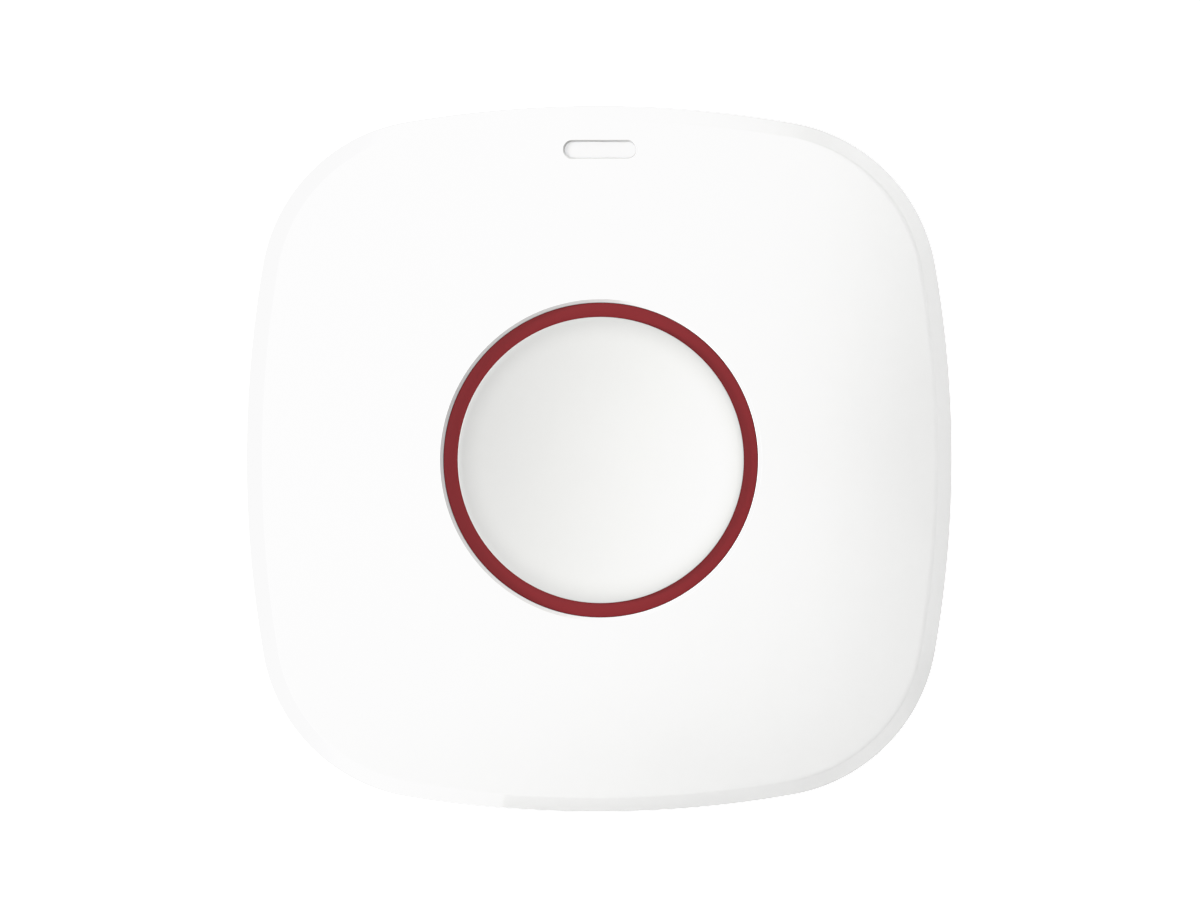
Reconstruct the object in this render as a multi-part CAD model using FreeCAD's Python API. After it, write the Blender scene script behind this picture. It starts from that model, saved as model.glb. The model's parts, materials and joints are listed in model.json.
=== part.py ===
import FreeCAD, Part
import math
import os

# A wireless panic button that hangs on a wall plate. All sizes are in millimetres.
# Each piece is drawn as it lies on a bench, face up: X to the right, Y towards the top
# of the hanging button, Z out of the wall. hang() then turns it upright to face -Y.

# Outline of the housing: four long side arcs joined by four tangent corner arcs
WIDTH = 82.0
SIDE_RADIUS = 134.8
CORNER_RADIUS = 20.2

# Front cover
DEPTH = 23.0  # from the wall to the highest edge of the cover, round its button hole
DOME_RADIUS = 305.0
COVER_WALL = 1.8
COVER_FACE = 2.0
RIM_CHAMFER_WIDTH = 1.72
RIM_CHAMFER_DROP = 1.1
PARTING_HEIGHT = 7.0
BUTTON_HOLE_RADIUS = 18.4
HOLE_BEVEL = 0.33
COLLAR_WALL = 1.4
COLLAR_STANDOFF = 5.3  # from the board to the rear edge of the collar
BOSS_RADIUS = 3.0
BOSS_GAP = 0.1
PILOT_DEPTH = 6.5
CATCH_WIDTH = 14.0
CATCH_REACH = 0.6
CATCH_THICKNESS = 1.0
CATCH_GAP = 0.15

# Wall plate and its hooks
PLATE_WIDTH = 50.0
PLATE_THICKNESS = 2.4
PLATE_CORNER_RADIUS = 7.5
PLATE_GAP = 0.3
PLATE_SIDE_GAP = 0.4
RELEASE_TRAVEL = 5.0
WALL_HOLE_RADIUS = 2.1
WALL_HOLE_SPACING = 39.0
COUNTERSINK_RADIUS = 3.5
COUNTERSINK_DEPTH = 1.2
HOOK_WIDTH = 6.0
HOOK_STEM = 2.0
HOOK_REACH = 4.7
HOOK_HEAD_THICKNESS = 1.2
HOOK_REST_GAP = 0.1
HOOK_GAP = 0.3
HOOK_SPACING = 39.0
UPPER_HOOK_SEAT = 17.0
LOWER_HOOK_SEAT = -12.0

# Rear housing
REAR_GAP = 0.4
REAR_INSET = 2.0
PARTING_INSET = 0.3
FLOOR_THICKNESS = 1.6
REAR_WALL = 3.0
LIP_GAP = 0.15
LIP_HEIGHT = 1.5
SCREW_INSET = 6.4  # from the tip of the corner, towards the middle
SCREW_POCKET_DEPTH = 2.2
SCREW_POCKET_WALL = 1.6
REST_WIDTH = 3.0
REST_LENGTH = 3.0
REST_CLEARANCE = 1.5
CLAMP_GAP = 0.1
WEB_THICKNESS = 2.0

# Screws
HOUSING_SCREW_RADIUS = 1.25
HOUSING_SCREW_LENGTH = 9.0
HOUSING_HEAD_RADIUS = 2.3
HOUSING_HEAD_HEIGHT = 1.6
SCREW_GAP = 0.05
SCREW_HOLE_GAP = 0.25
HEAD_GAP = 0.3
DRIVE_WIDTH = 0.6
DRIVE_LENGTH = 2.8
DRIVE_DEPTH = 0.8

# Battery: a coin cell in a holder under the board, between two sprung contacts
BATTERY_RADIUS = 12.25
BATTERY_THICKNESS = 3.0
BATTERY_CLEARANCE = 0.2
CONTACT_THICKNESS = 0.25
CONTACT_LIFT = 0.5
CONTACT_GAP = 0.05
POSITIVE_CONTACT_WIDTH = 9.0
NEGATIVE_CONTACT_WIDTH = 5.0
NEGATIVE_CONTACT_LENGTH = 11.0
TONGUE_LENGTH = 9.0
TONGUE_WIDTH = 3.0
TONGUE_SLIT = 0.8
HOLDER_SIDE_WALL = 2.0
HOLDER_END_WALL = 0.9
HOLDER_BASE = 0.85
HOLDER_UNCOVERED = 0.6

# Circuit board
BOARD_INSET = 3.0
BOARD_THICKNESS = 1.2
BOARD_NOTCH_GAP = 0.5

# Tactile switches, one pressed by the button and one by the wall plate
SWITCH_WIDTH = 6.2
SWITCH_BASE_HEIGHT = 3.1
SWITCH_FRAME_THICKNESS = 0.3
SWITCH_FLOOR = 0.9
PLUNGER_RADIUS = 1.75
PLUNGER_GAP = 0.1
PLUNGER_DEPTH = 0.6
PLUNGER_EDGE = 0.2
ALARM_PLUNGER_STANDOUT = 0.7
ALARM_SWITCH_TRAVEL = 0.5
TERMINAL_WIDTH = 0.8
TERMINAL_THICKNESS = 0.25
TERMINAL_FOOT = 0.7
TERMINAL_SPACING = 4.5
TAMPER_HEIGHT = -19.5
TAMPER_TRAVEL = 1.0
TAMPER_HOLE_GAP = 0.35
TIP_BEVEL = 0.8
RAMP_START_DEPTH = 0.2
RAMP_GAP = 0.05
RAMP_SIDE_GAP = 0.45

# Button: a dished cap in a red body, which shows as a ring and is snapped into the cover
BUTTON_CLEARANCE = 0.1
BUTTON_TRAVEL = 1.0
RING_WIDTH = 1.62
RING_SINK = 0.07
RING_HEIGHT = 2.8
CAP_CLEARANCE = 0.06
CAP_RISE = 0.2
CAP_EDGE = 0.25
DISH_DEPTH = 1.2
BODY_DISC_THICKNESS = 1.6
BODY_RIB_COUNT = 8
BODY_RIB_THICKNESS = 1.0
BODY_RIB_HEIGHT = 1.5
BODY_RIB_CLEARANCE = 0.6
HUB_WIDTH = 5.0
LEG_THICKNESS = 1.3
LEG_COUNT = 4
LEG_WIDTH = 6.2
LEG_HOOK = 1.0
LEG_HOOK_HEIGHT = 1.4
LEG_STOP_GAP = 0.1
PAD_WIDTH = 4.4
PAD_THICKNESS = 0.6
PAD_GAP = 0.05

# Return spring
SPRING_RADIUS = 5.0
SPRING_WIRE = 0.45
SPRING_TURNS = 2.5
SPRING_GAP = 0.05

# Light slot and what shines through it
LIGHT_INSET = 5.0  # from the top of the housing to the middle of the slot
LIGHT_SLOT_LENGTH = 8.54
LIGHT_SLOT_WIDTH = 2.17
LIGHT_GUIDE_GAP = 0.05
LIGHT_GUIDE_SINK = 0.25
LIGHT_FRAME_WALL = 1.0
LIGHT_FRAME_DEPTH = 5.0
LIGHT_FLANGE = 0.7
LIGHT_FLANGE_THICKNESS = 1.0
LED_LENGTH = 3.2
LED_WIDTH = 1.6
LED_HEIGHT = 0.7
LED_LENS_LENGTH = 2.0
LED_LENS_HEIGHT = 0.3
LED_LENS_EDGE = 0.2
LED_GAP = 0.3

# Parts on the front of the board. Insets run from its nearest sides to a part's middle
CHIP_WIDTH = 7.0
CHIP_HEIGHT = 1.0
CHIP_EDGE = 0.15
CHIP_INSETS = (14.0, 20.0)
SHIELD_LENGTH = 15.0
SHIELD_WIDTH = 11.0
SHIELD_HEIGHT = 2.4
SHIELD_WALL = 0.2
SHIELD_INSET = 10.0
CRYSTAL_LENGTH = 7.0
CRYSTAL_WIDTH = 3.2
CRYSTAL_HEIGHT = 1.8
CRYSTAL_RIM = 0.35
CRYSTAL_GAP = 3.0  # to the radio shield
CRYSTAL_INSET = 13.0
CAPACITOR_RADIUS = 3.15
CAPACITOR_HEIGHT = 5.4
CAPACITOR_BASE = 6.6
CAPACITOR_BASE_HEIGHT = 0.9
CAPACITOR_BASE_CUT = 1.3
CAPACITOR_INSETS = (14.0, 20.0)
HEADER_PINS = 5
HEADER_PITCH = 2.0
HEADER_WIDTH = 2.0
HEADER_BODY_HEIGHT = 2.0
HEADER_PIN_WIDTH = 0.5
HEADER_PIN_HEIGHT = 5.0
HEADER_INSETS = (12.0, 20.0)
ANTENNA_STRIP = 1.6
ANTENNA_THICKNESS = 0.3
ANTENNA_RISE = 4.0
ANTENNA_LENGTH = 30.0
ANTENNA_FEED = 4.0
ANTENNA_INSET = 2.0
PASSIVE_LENGTH = 1.6
PASSIVE_WIDTH = 0.8
PASSIVE_HEIGHT = 0.5
PASSIVE_CAP = 0.35
PASSIVE_CAP_RISE = 0.05
PASSIVE_PITCH = 2.2

# Allowance by which a cutting or a buried shape runs past the face it meets
OVERRUN = 0.5

# Directions
UP = FreeCAD.Vector(0, 0, 1)
RIGHT = FreeCAD.Vector(1, 0, 0)
ORIGIN = FreeCAD.Vector(0, 0, 0)
FULL_TURN = 360.0
QUARTER_TURN = 90.0
UPRIGHT_SHARE = 0.99  # of its length that an upright edge rises

# Places of the outline's arcs, worked out from its width and its two radii
SIDE_CENTRE = WIDTH / 2 - SIDE_RADIUS
RADIUS_STEP = SIDE_RADIUS - CORNER_RADIUS
CORNER_CENTRE = (SIDE_CENTRE + math.sqrt(2 * RADIUS_STEP**2 - SIDE_CENTRE**2)) / 2
SIDE_ANGLE = math.degrees(math.asin(CORNER_CENTRE / RADIUS_STEP))

# Heights in the housing, from the wall outwards
FLOOR_REAR = PLATE_THICKNESS + PLATE_GAP
FLOOR_FRONT = FLOOR_REAR + FLOOR_THICKNESS
CHANNEL_FLOOR = REAR_GAP + FLOOR_THICKNESS
POSITIVE_CONTACT_BOTTOM = FLOOR_FRONT + CONTACT_LIFT
BATTERY_BOTTOM = POSITIVE_CONTACT_BOTTOM + CONTACT_THICKNESS + CONTACT_GAP
BATTERY_TOP = BATTERY_BOTTOM + BATTERY_THICKNESS
BOARD_REAR = BATTERY_TOP + CONTACT_GAP + HOLDER_BASE
BOARD_FRONT = BOARD_REAR + BOARD_THICKNESS
LIP_INSET = COVER_WALL + LIP_GAP

# Heights in the cover and the button, from the front face inwards
HOLE_EDGE_RADIUS = BUTTON_HOLE_RADIUS + HOLE_BEVEL
DOME_CENTRE = DEPTH - math.sqrt(DOME_RADIUS**2 - HOLE_EDGE_RADIUS**2)
DOME_TOP = DOME_CENTRE + DOME_RADIUS
COLLAR_BOTTOM = BOARD_FRONT + COLLAR_STANDOFF
BUTTON_RADIUS = BUTTON_HOLE_RADIUS - BUTTON_CLEARANCE
RING_TOP = DEPTH - HOLE_BEVEL - RING_SINK
RING_BOTTOM = RING_TOP - RING_HEIGHT
RING_INNER_RADIUS = BUTTON_RADIUS - RING_WIDTH
CAP_RADIUS = RING_INNER_RADIUS - CAP_CLEARANCE
CAP_TOP = RING_TOP + CAP_RISE
BODY_UNDERSIDE = RING_BOTTOM - BODY_DISC_THICKNESS

# Places on the board, from the insets of its parts
BOARD_EDGE = WIDTH / 2 - BOARD_INSET
CHIP_PLACE = (CHIP_INSETS[0] - BOARD_EDGE, CHIP_INSETS[1] - BOARD_EDGE)
SHIELD_PLACE = (0.0, SHIELD_INSET - BOARD_EDGE)
CRYSTAL_SIDE = SHIELD_LENGTH / 2 + CRYSTAL_GAP + CRYSTAL_LENGTH / 2
CRYSTAL_PLACE = (-CRYSTAL_SIDE, CRYSTAL_INSET - BOARD_EDGE)
CAPACITOR_PLACE = (BOARD_EDGE - CAPACITOR_INSETS[0], CAPACITOR_INSETS[1] - BOARD_EDGE)
HEADER_PLACE = (BOARD_EDGE - HEADER_INSETS[0], BOARD_EDGE - HEADER_INSETS[1])
ANTENNA_PLACE = (0.0, ANTENNA_INSET - BOARD_EDGE)
REST_SPACING = ANTENNA_LENGTH + REST_WIDTH + 2 * REST_CLEARANCE

# Screws, hooks and light, placed from the pieces that they hold or pass through
POCKET_TOP = REAR_GAP + SCREW_POCKET_DEPTH
SCREW_POST_RADIUS = HOUSING_HEAD_RADIUS + HEAD_GAP + SCREW_POCKET_WALL
HOOK_HEAD_BOTTOM = FLOOR_FRONT + HOOK_GAP / 2
RAMP_SLOPE = TAMPER_TRAVEL / RELEASE_TRAVEL
RAMP_SEAT = PLATE_THICKNESS - RAMP_START_DEPTH
SWITCH_TOP = SWITCH_BASE_HEIGHT + SWITCH_FRAME_THICKNESS
LIGHT_FRAME_BOTTOM = DEPTH - COVER_FACE - LIGHT_FRAME_DEPTH
LIGHT_HEIGHT = WIDTH / 2 - LIGHT_INSET


def hang(shape):
    """Turn a piece from the bench to the wall, upright and facing -Y."""
    hung = shape.copy()
    hung.rotate(ORIGIN, RIGHT, QUARTER_TURN)
    return hung


def fused(shapes):
    """Join shapes into one solid with no seams between faces that run on."""
    first, *others = shapes
    return first.multiFuse(others).removeSplitter()


def moved(shape, x, y, z=0.0):
    """Copy of a shape, shifted."""
    copy = shape.copy()
    copy.translate(FreeCAD.Vector(x, y, z))
    return copy


def turned(shape, angle):
    """Copy of a shape, turned about the button's axis."""
    copy = shape.copy()
    copy.rotate(ORIGIN, UP, angle)
    return copy


def flipped(shape):
    """Copy of a shape, turned face down."""
    copy = shape.copy()
    copy.rotate(ORIGIN, RIGHT, 2 * QUARTER_TURN)
    return copy


def cylinder(radius, bottom, top, x=0.0, y=0.0):
    """Upright cylinder between two heights."""
    return Part.makeCylinder(radius, top - bottom, FreeCAD.Vector(x, y, bottom))


def box(width, height, bottom, top, x=0.0, y=0.0):
    """Upright box between two heights, centred on a place."""
    corner = FreeCAD.Vector(x - width / 2, y - height / 2, bottom)
    return Part.makeBox(width, height, top - bottom, corner)


def upright_edges(shape):
    """The straight edges of a shape that stand upright."""
    return [
        edge
        for edge in shape.Edges
        if abs(edge.Vertexes[0].Z - edge.Vertexes[-1].Z) > UPRIGHT_SHARE * edge.Length
    ]


def rounded_box(width, height, bottom, top, radius, x=0.0, y=0.0):
    """Upright box with rounded corners."""
    plain = box(width, height, bottom, top, x, y)
    return plain.makeFillet(radius, upright_edges(plain))


def stadium(length, width, bottom, top, x=0.0, y=0.0):
    """Upright bar with half-round ends, long in X."""
    radius = width / 2
    reach = length / 2 - radius
    right_end = FreeCAD.Vector(x + reach, y, bottom)
    left_end = FreeCAD.Vector(x - reach, y, bottom)
    side = FreeCAD.Vector(0, radius, 0)
    wire = Part.Wire(
        [
            Part.makeCircle(radius, right_end, UP, -QUARTER_TURN, QUARTER_TURN),
            Part.makeLine(right_end + side, left_end + side),
            Part.makeCircle(radius, left_end, UP, QUARTER_TURN, 3 * QUARTER_TURN),
            Part.makeLine(left_end - side, right_end - side),
        ]
    )
    return Part.Face(wire).extrude(FreeCAD.Vector(0, 0, top - bottom))


def revolved(points):
    """Solid turned about the button's axis from (radius, height) corners."""
    profile = [FreeCAD.Vector(radius, 0, height) for radius, height in points]
    face = Part.Face(Part.makePolygon(profile + profile[:1]))
    return face.revolve(ORIGIN, UP, FULL_TURN)


def tube(inner_radius, outer_radius, bottom, top):
    """Round wall about the button's axis."""
    return revolved(
        [(inner_radius, bottom), (outer_radius, bottom), (outer_radius, top), (inner_radius, top)]
    )


def spoke(start, end, thickness, bottom, top, turn):
    """Radial bar from one radius to another, along a heading."""
    bar = box(end - start, thickness, bottom, top, (start + end) / 2)
    return turned(bar, turn)


def corners(spacing_x, spacing_y):
    """The four corners of a rectangle about the button's axis."""
    return [(side * spacing_x / 2, end * spacing_y / 2) for side in (-1, 1) for end in (-1, 1)]


def outline(inset, height):
    """Wire of the housing's rounded square, drawn in by an inset."""
    edges = []
    for quarter in range(4):
        turn = quarter * QUARTER_TURN
        outwards = FreeCAD.Vector(math.cos(math.radians(turn)), math.sin(math.radians(turn)), 0)
        across = UP.cross(outwards)
        lift = UP * height
        side_centre = outwards * SIDE_CENTRE + lift
        corner_centre = (outwards + across) * CORNER_CENTRE + lift
        start, end = turn - SIDE_ANGLE, turn + SIDE_ANGLE
        edges.append(Part.makeCircle(SIDE_RADIUS - inset, side_centre, UP, start, end))
        edges.append(
            Part.makeCircle(
                CORNER_RADIUS - inset, corner_centre, UP, end, turn + QUARTER_TURN - SIDE_ANGLE
            )
        )
    return Part.Wire(edges)


def block(inset, bottom, top):
    """Upright block of the housing's outline between two heights."""
    return Part.Face(outline(inset, bottom)).extrude(UP * (top - bottom))


def ball_seamed_below(radius):
    """Ball whose poles lie level and whose seam runs underneath."""
    ball = Part.makeSphere(radius)
    ball.rotate(ORIGIN, FreeCAD.Vector(0, 1, 0), QUARTER_TURN)
    return ball


def dome_ball(radius):
    """Ball about the dome's centre, whose top is the dome."""
    return moved(ball_seamed_below(radius), 0, 0, DOME_CENTRE)


def dome_height(distance):
    """Height of the cover's face at a distance from the button's axis."""
    return DOME_CENTRE + math.sqrt(DOME_RADIUS**2 - distance**2)


def front_face(solid):
    """The face of a solid that lies furthest forward."""
    return max(solid.Faces, key=lambda face: face.CenterOfMass.z)


def cover_blank():
    """Solid block of the cover, domed and with its rim chamfered."""
    domed = block(0, PARTING_HEIGHT, DOME_TOP + OVERRUN).common(dome_ball(DOME_RADIUS))
    rim = front_face(domed).Edges
    return domed.makeChamfer(RIM_CHAMFER_DROP, RIM_CHAMFER_WIDTH, rim)


def corner_reach(inset):
    """Distance from the button's axis to a corner of the outline."""
    return CORNER_CENTRE * math.sqrt(2) + CORNER_RADIUS - inset


def screw_places():
    """Places of the two screws that close the housing, in its lower corners."""
    offset = corner_reach(SCREW_INSET) / math.sqrt(2)
    return [(-offset, -offset), (offset, -offset)]


def corner_bars(width, bottom, top, end):
    """Diagonal bars from the screws' places out to the lower corners."""
    start = corner_reach(SCREW_INSET)
    headings = (-QUARTER_TURN / 2, -QUARTER_TURN / 2 - QUARTER_TURN)
    return [spoke(start, end, width, bottom, top, heading) for heading in headings]


def side_reach(offset, inset):
    """Distance from the button's axis to a side of the outline, at an offset along it."""
    return SIDE_CENTRE + math.sqrt((SIDE_RADIUS - inset) ** 2 - offset**2)


def board_ribs(bottom, top):
    """Four short ribs along the top and bottom walls, over or under the board's edge."""
    inner = side_reach(REST_SPACING / 2, REAR_WALL) - REST_LENGTH
    outer = side_reach(REST_SPACING / 2, COVER_WALL)
    return [
        box(REST_WIDTH, outer - inner, bottom, top, x, y)
        for x, y in corners(REST_SPACING, inner + outer)
    ]


def catch(gap):
    """Tongue at the top of the rear housing, or with a gap the pocket that takes it."""
    reach = WIDTH / 2 - COVER_WALL + CATCH_REACH + gap
    middle = PARTING_HEIGHT + LIP_HEIGHT / 2
    half = CATCH_THICKNESS / 2 + gap
    start = WIDTH / 2 - REAR_WALL + OVERRUN
    return box(
        CATCH_WIDTH + 2 * gap,
        reach - start,
        middle - half,
        middle + half,
        0,
        (reach + start) / 2,
    )


def cover_inside():
    """What stands inside the cover: the button's collar, the bosses and the light frame."""
    top = DOME_TOP
    boss_bottom = PARTING_HEIGHT + BOSS_GAP
    web_bottom = PARTING_HEIGHT + LIP_HEIGHT + BOSS_GAP
    shapes = [tube(BUTTON_HOLE_RADIUS, BUTTON_HOLE_RADIUS + COLLAR_WALL, COLLAR_BOTTOM, top)]
    shapes += [cylinder(BOSS_RADIUS, boss_bottom, top, x, y) for x, y in screw_places()]
    shapes += corner_bars(WEB_THICKNESS, web_bottom, top, corner_reach(0))
    shapes += board_ribs(BOARD_FRONT + CLAMP_GAP, top)
    shapes.append(
        box(
            LIGHT_SLOT_LENGTH + 2 * LIGHT_FRAME_WALL,
            LIGHT_SLOT_WIDTH + 2 * LIGHT_FRAME_WALL,
            LIGHT_FRAME_BOTTOM,
            top,
            0,
            LIGHT_HEIGHT,
        )
    )
    return shapes


def front_cover():
    """Domed cover with its rim chamfer, bevelled button hole, light slot and inner bosses."""
    core = block(COVER_WALL, PARTING_HEIGHT - OVERRUN, DOME_TOP)
    core = core.common(dome_ball(DOME_RADIUS - COVER_FACE))
    core = core.cut(cover_inside())
    hole = cylinder(BUTTON_HOLE_RADIUS, COLLAR_BOTTOM - OVERRUN, DOME_TOP + OVERRUN)
    bevel_top = HOLE_BEVEL + OVERRUN
    bevel = Part.makeCone(
        BUTTON_HOLE_RADIUS,
        BUTTON_HOLE_RADIUS + bevel_top,
        bevel_top,
        FreeCAD.Vector(0, 0, DEPTH - HOLE_BEVEL),
    )
    slot = stadium(
        LIGHT_SLOT_LENGTH,
        LIGHT_SLOT_WIDTH,
        LIGHT_FRAME_BOTTOM - OVERRUN,
        DOME_TOP,
        0,
        LIGHT_HEIGHT,
    )
    pilot_radius = HOUSING_SCREW_RADIUS + SCREW_GAP
    pilots = [
        cylinder(pilot_radius, PARTING_HEIGHT, PARTING_HEIGHT + PILOT_DEPTH, x, y)
        for x, y in screw_places()
    ]
    cover = cover_blank().cut([core, hole, bevel, slot, catch(CATCH_GAP)] + pilots)
    return cover.removeSplitter()


def plate_recess(margin, bottom, top):
    """Space for the wall plate and its travel in the back of the housing."""
    width = PLATE_WIDTH + 2 * (PLATE_SIDE_GAP + margin)
    radius = PLATE_CORNER_RADIUS + PLATE_SIDE_GAP + margin
    height = width + RELEASE_TRAVEL
    return rounded_box(width, height, bottom, top, radius, 0, -RELEASE_TRAVEL / 2)


def hook_places():
    """Each hook's place across the plate and the height of its seat."""
    return [
        (side * HOOK_SPACING / 2, seat)
        for side in (-1, 1)
        for seat in (UPPER_HOOK_SEAT, LOWER_HOOK_SEAT)
    ]


def hook_slot(x, seat):
    """Slot in the housing's floor through which a hook passes."""
    top = seat + HOOK_REST_GAP
    low = seat - HOOK_STEM - RELEASE_TRAVEL - HOOK_GAP
    return box(
        HOOK_WIDTH + 2 * HOOK_GAP,
        top - low,
        FLOOR_REAR - OVERRUN,
        FLOOR_FRONT + OVERRUN,
        x,
        (top + low) / 2,
    )


def rear_housing():
    """Back of the housing: floor, recess for the wall plate, rests and a lip for the cover."""
    shell = Part.makeLoft(
        [outline(REAR_INSET, REAR_GAP), outline(PARTING_INSET, PARTING_HEIGHT)], True, True
    )
    lip_top = PARTING_HEIGHT + LIP_HEIGHT
    lip = block(LIP_INSET, PARTING_HEIGHT - OVERRUN, lip_top)
    core = block(REAR_WALL, FLOOR_FRONT, lip_top + OVERRUN)
    recess_wall = plate_recess(FLOOR_THICKNESS, CHANNEL_FLOOR - OVERRUN, FLOOR_FRONT + OVERRUN)
    channel = block(REAR_WALL, CHANNEL_FLOOR, FLOOR_FRONT + OVERRUN).cut(recess_wall)
    buried = CHANNEL_FLOOR - OVERRUN
    posts = [cylinder(SCREW_POST_RADIUS, buried, PARTING_HEIGHT, x, y) for x, y in screw_places()]
    posts += corner_bars(WEB_THICKNESS, buried, PARTING_HEIGHT, corner_reach(REAR_WALL - OVERRUN))
    rests = Part.makeCompound(board_ribs(buried, BOARD_REAR)).common(
        block(LIP_INSET + LIP_GAP, buried, BOARD_REAR)
    )
    housing = fused([shell, lip]).cut([core, channel])
    housing = fused([housing, catch(0)] + posts + rests.Solids)
    cuts = [plate_recess(0, 0, FLOOR_REAR)]
    cuts += [hook_slot(x, seat) for x, seat in hook_places()]
    cuts.append(
        cylinder(
            PLUNGER_RADIUS + TAMPER_HOLE_GAP,
            FLOOR_REAR - OVERRUN,
            FLOOR_FRONT + OVERRUN,
            0,
            TAMPER_HEIGHT,
        )
    )
    for x, y in screw_places():
        shank_hole = HOUSING_SCREW_RADIUS + SCREW_HOLE_GAP
        cuts.append(cylinder(HOUSING_HEAD_RADIUS + HEAD_GAP, 0, POCKET_TOP, x, y))
        cuts.append(cylinder(shank_hole, 0, PARTING_HEIGHT + OVERRUN, x, y))
    return housing.cut(cuts)


def plate_hook(x, seat):
    """Hook with a stem through the housing's floor and a head that points up behind it."""
    low = seat - HOOK_STEM
    tip = low + HOOK_STEM + HOOK_REACH
    head_top = HOOK_HEAD_BOTTOM + HOOK_HEAD_THICKNESS
    profile = [
        (low, PLATE_THICKNESS - OVERRUN),
        (seat, PLATE_THICKNESS - OVERRUN),
        (seat, HOOK_HEAD_BOTTOM),
        (tip - HOOK_HEAD_THICKNESS / 2, HOOK_HEAD_BOTTOM),
        (tip, HOOK_HEAD_BOTTOM + HOOK_HEAD_THICKNESS / 2),
        (tip, head_top),
        (low, head_top),
    ]
    points = [FreeCAD.Vector(x - HOOK_WIDTH / 2, y, z) for y, z in profile]
    face = Part.Face(Part.makePolygon(points + points[:1]))
    return face.extrude(RIGHT * HOOK_WIDTH)


def tamper_ramp():
    """Groove whose floor slopes away from the tamper plunger as the housing is lifted."""
    half_width = PLUNGER_RADIUS + RAMP_SIDE_GAP
    start = TAMPER_HEIGHT - RAMP_START_DEPTH / RAMP_SLOPE
    end = TAMPER_HEIGHT + RELEASE_TRAVEL + half_width
    profile = [
        (start, PLATE_THICKNESS),
        (end, PLATE_THICKNESS - RAMP_SLOPE * (end - start)),
        (end, PLATE_THICKNESS + OVERRUN),
        (start, PLATE_THICKNESS + OVERRUN),
    ]
    points = [FreeCAD.Vector(-half_width, y, z) for y, z in profile]
    face = Part.Face(Part.makePolygon(points + points[:1]))
    return face.extrude(RIGHT * (2 * half_width))


def wall_plate():
    """Plate that is screwed to the wall, with four hooks and the ramp for the tamper switch."""
    blank = rounded_box(PLATE_WIDTH, PLATE_WIDTH, 0, PLATE_THICKNESS, PLATE_CORNER_RADIUS)
    plate = fused([blank] + [plate_hook(x, seat) for x, seat in hook_places()])
    cuts = [tamper_ramp()]
    straight = PLATE_THICKNESS - COUNTERSINK_DEPTH
    for side in (-1, 1):
        x = side * WALL_HOLE_SPACING / 2
        cuts.append(cylinder(WALL_HOLE_RADIUS, -OVERRUN, PLATE_THICKNESS + OVERRUN, x))
        cuts.append(
            Part.makeCone(
                WALL_HOLE_RADIUS,
                COUNTERSINK_RADIUS,
                COUNTERSINK_DEPTH,
                FreeCAD.Vector(x, 0, straight),
            )
        )
    return plate.cut(cuts)


def housing_screw():
    """Cross-head screw, head up, with the underside of its head at height zero."""
    body = revolved(
        [
            (0, -HOUSING_SCREW_LENGTH),
            (HOUSING_SCREW_RADIUS, -HOUSING_SCREW_LENGTH),
            (HOUSING_SCREW_RADIUS, 0),
            (HOUSING_HEAD_RADIUS, 0),
            (HOUSING_HEAD_RADIUS, HOUSING_HEAD_HEIGHT),
            (0, HOUSING_HEAD_HEIGHT),
        ]
    )
    bottom = HOUSING_HEAD_HEIGHT - DRIVE_DEPTH
    cross = [
        box(DRIVE_LENGTH, DRIVE_WIDTH, bottom, HOUSING_HEAD_HEIGHT + OVERRUN),
        box(DRIVE_WIDTH, DRIVE_LENGTH, bottom, HOUSING_HEAD_HEIGHT + OVERRUN),
    ]
    return body.cut(fused(cross))


def housing_screws():
    """Two screws that go in from the back and close the housing."""
    one = flipped(housing_screw())
    return Part.makeCompound([moved(one, x, y, POCKET_TOP) for x, y in screw_places()])


def circuit_board():
    """Board that fills the housing, notched round the cover's screw bosses."""
    board = block(BOARD_INSET, BOARD_REAR, BOARD_FRONT)
    notch_radius = BOSS_RADIUS + BOARD_NOTCH_GAP
    low, high = BOARD_REAR - OVERRUN, BOARD_FRONT + OVERRUN
    cuts = [cylinder(notch_radius, low, high, x, y) for x, y in screw_places()]
    cuts += corner_bars(2 * notch_radius, low, high, corner_reach(0))
    return board.cut(cuts)


def battery():
    """Coin cell."""
    return cylinder(BATTERY_RADIUS, BATTERY_BOTTOM, BATTERY_TOP)


def holder_width():
    """Outside width of the battery holder."""
    return 2 * (BATTERY_RADIUS + BATTERY_CLEARANCE + HOLDER_SIDE_WALL)


def battery_holder():
    """Holder soldered under the board, with one open side for the coin cell."""
    pocket_radius = BATTERY_RADIUS + BATTERY_CLEARANCE
    bottom = BATTERY_BOTTOM + HOLDER_UNCOVERED
    pocket_top = BATTERY_TOP + CONTACT_GAP
    end = pocket_radius + HOLDER_END_WALL
    body = box(holder_width(), 2 * end, bottom, BOARD_REAR)
    cuts = [
        cylinder(pocket_radius, bottom - OVERRUN, pocket_top),
        box(2 * pocket_radius, end + OVERRUN, bottom - OVERRUN, pocket_top, 0, -(end + OVERRUN) / 2),
        box(
            NEGATIVE_CONTACT_WIDTH + 2 * BATTERY_CLEARANCE,
            NEGATIVE_CONTACT_LENGTH + 2 * BATTERY_CLEARANCE,
            pocket_top - OVERRUN,
            BOARD_REAR + OVERRUN,
        ),
    ]
    return body.cut(cuts)


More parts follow.
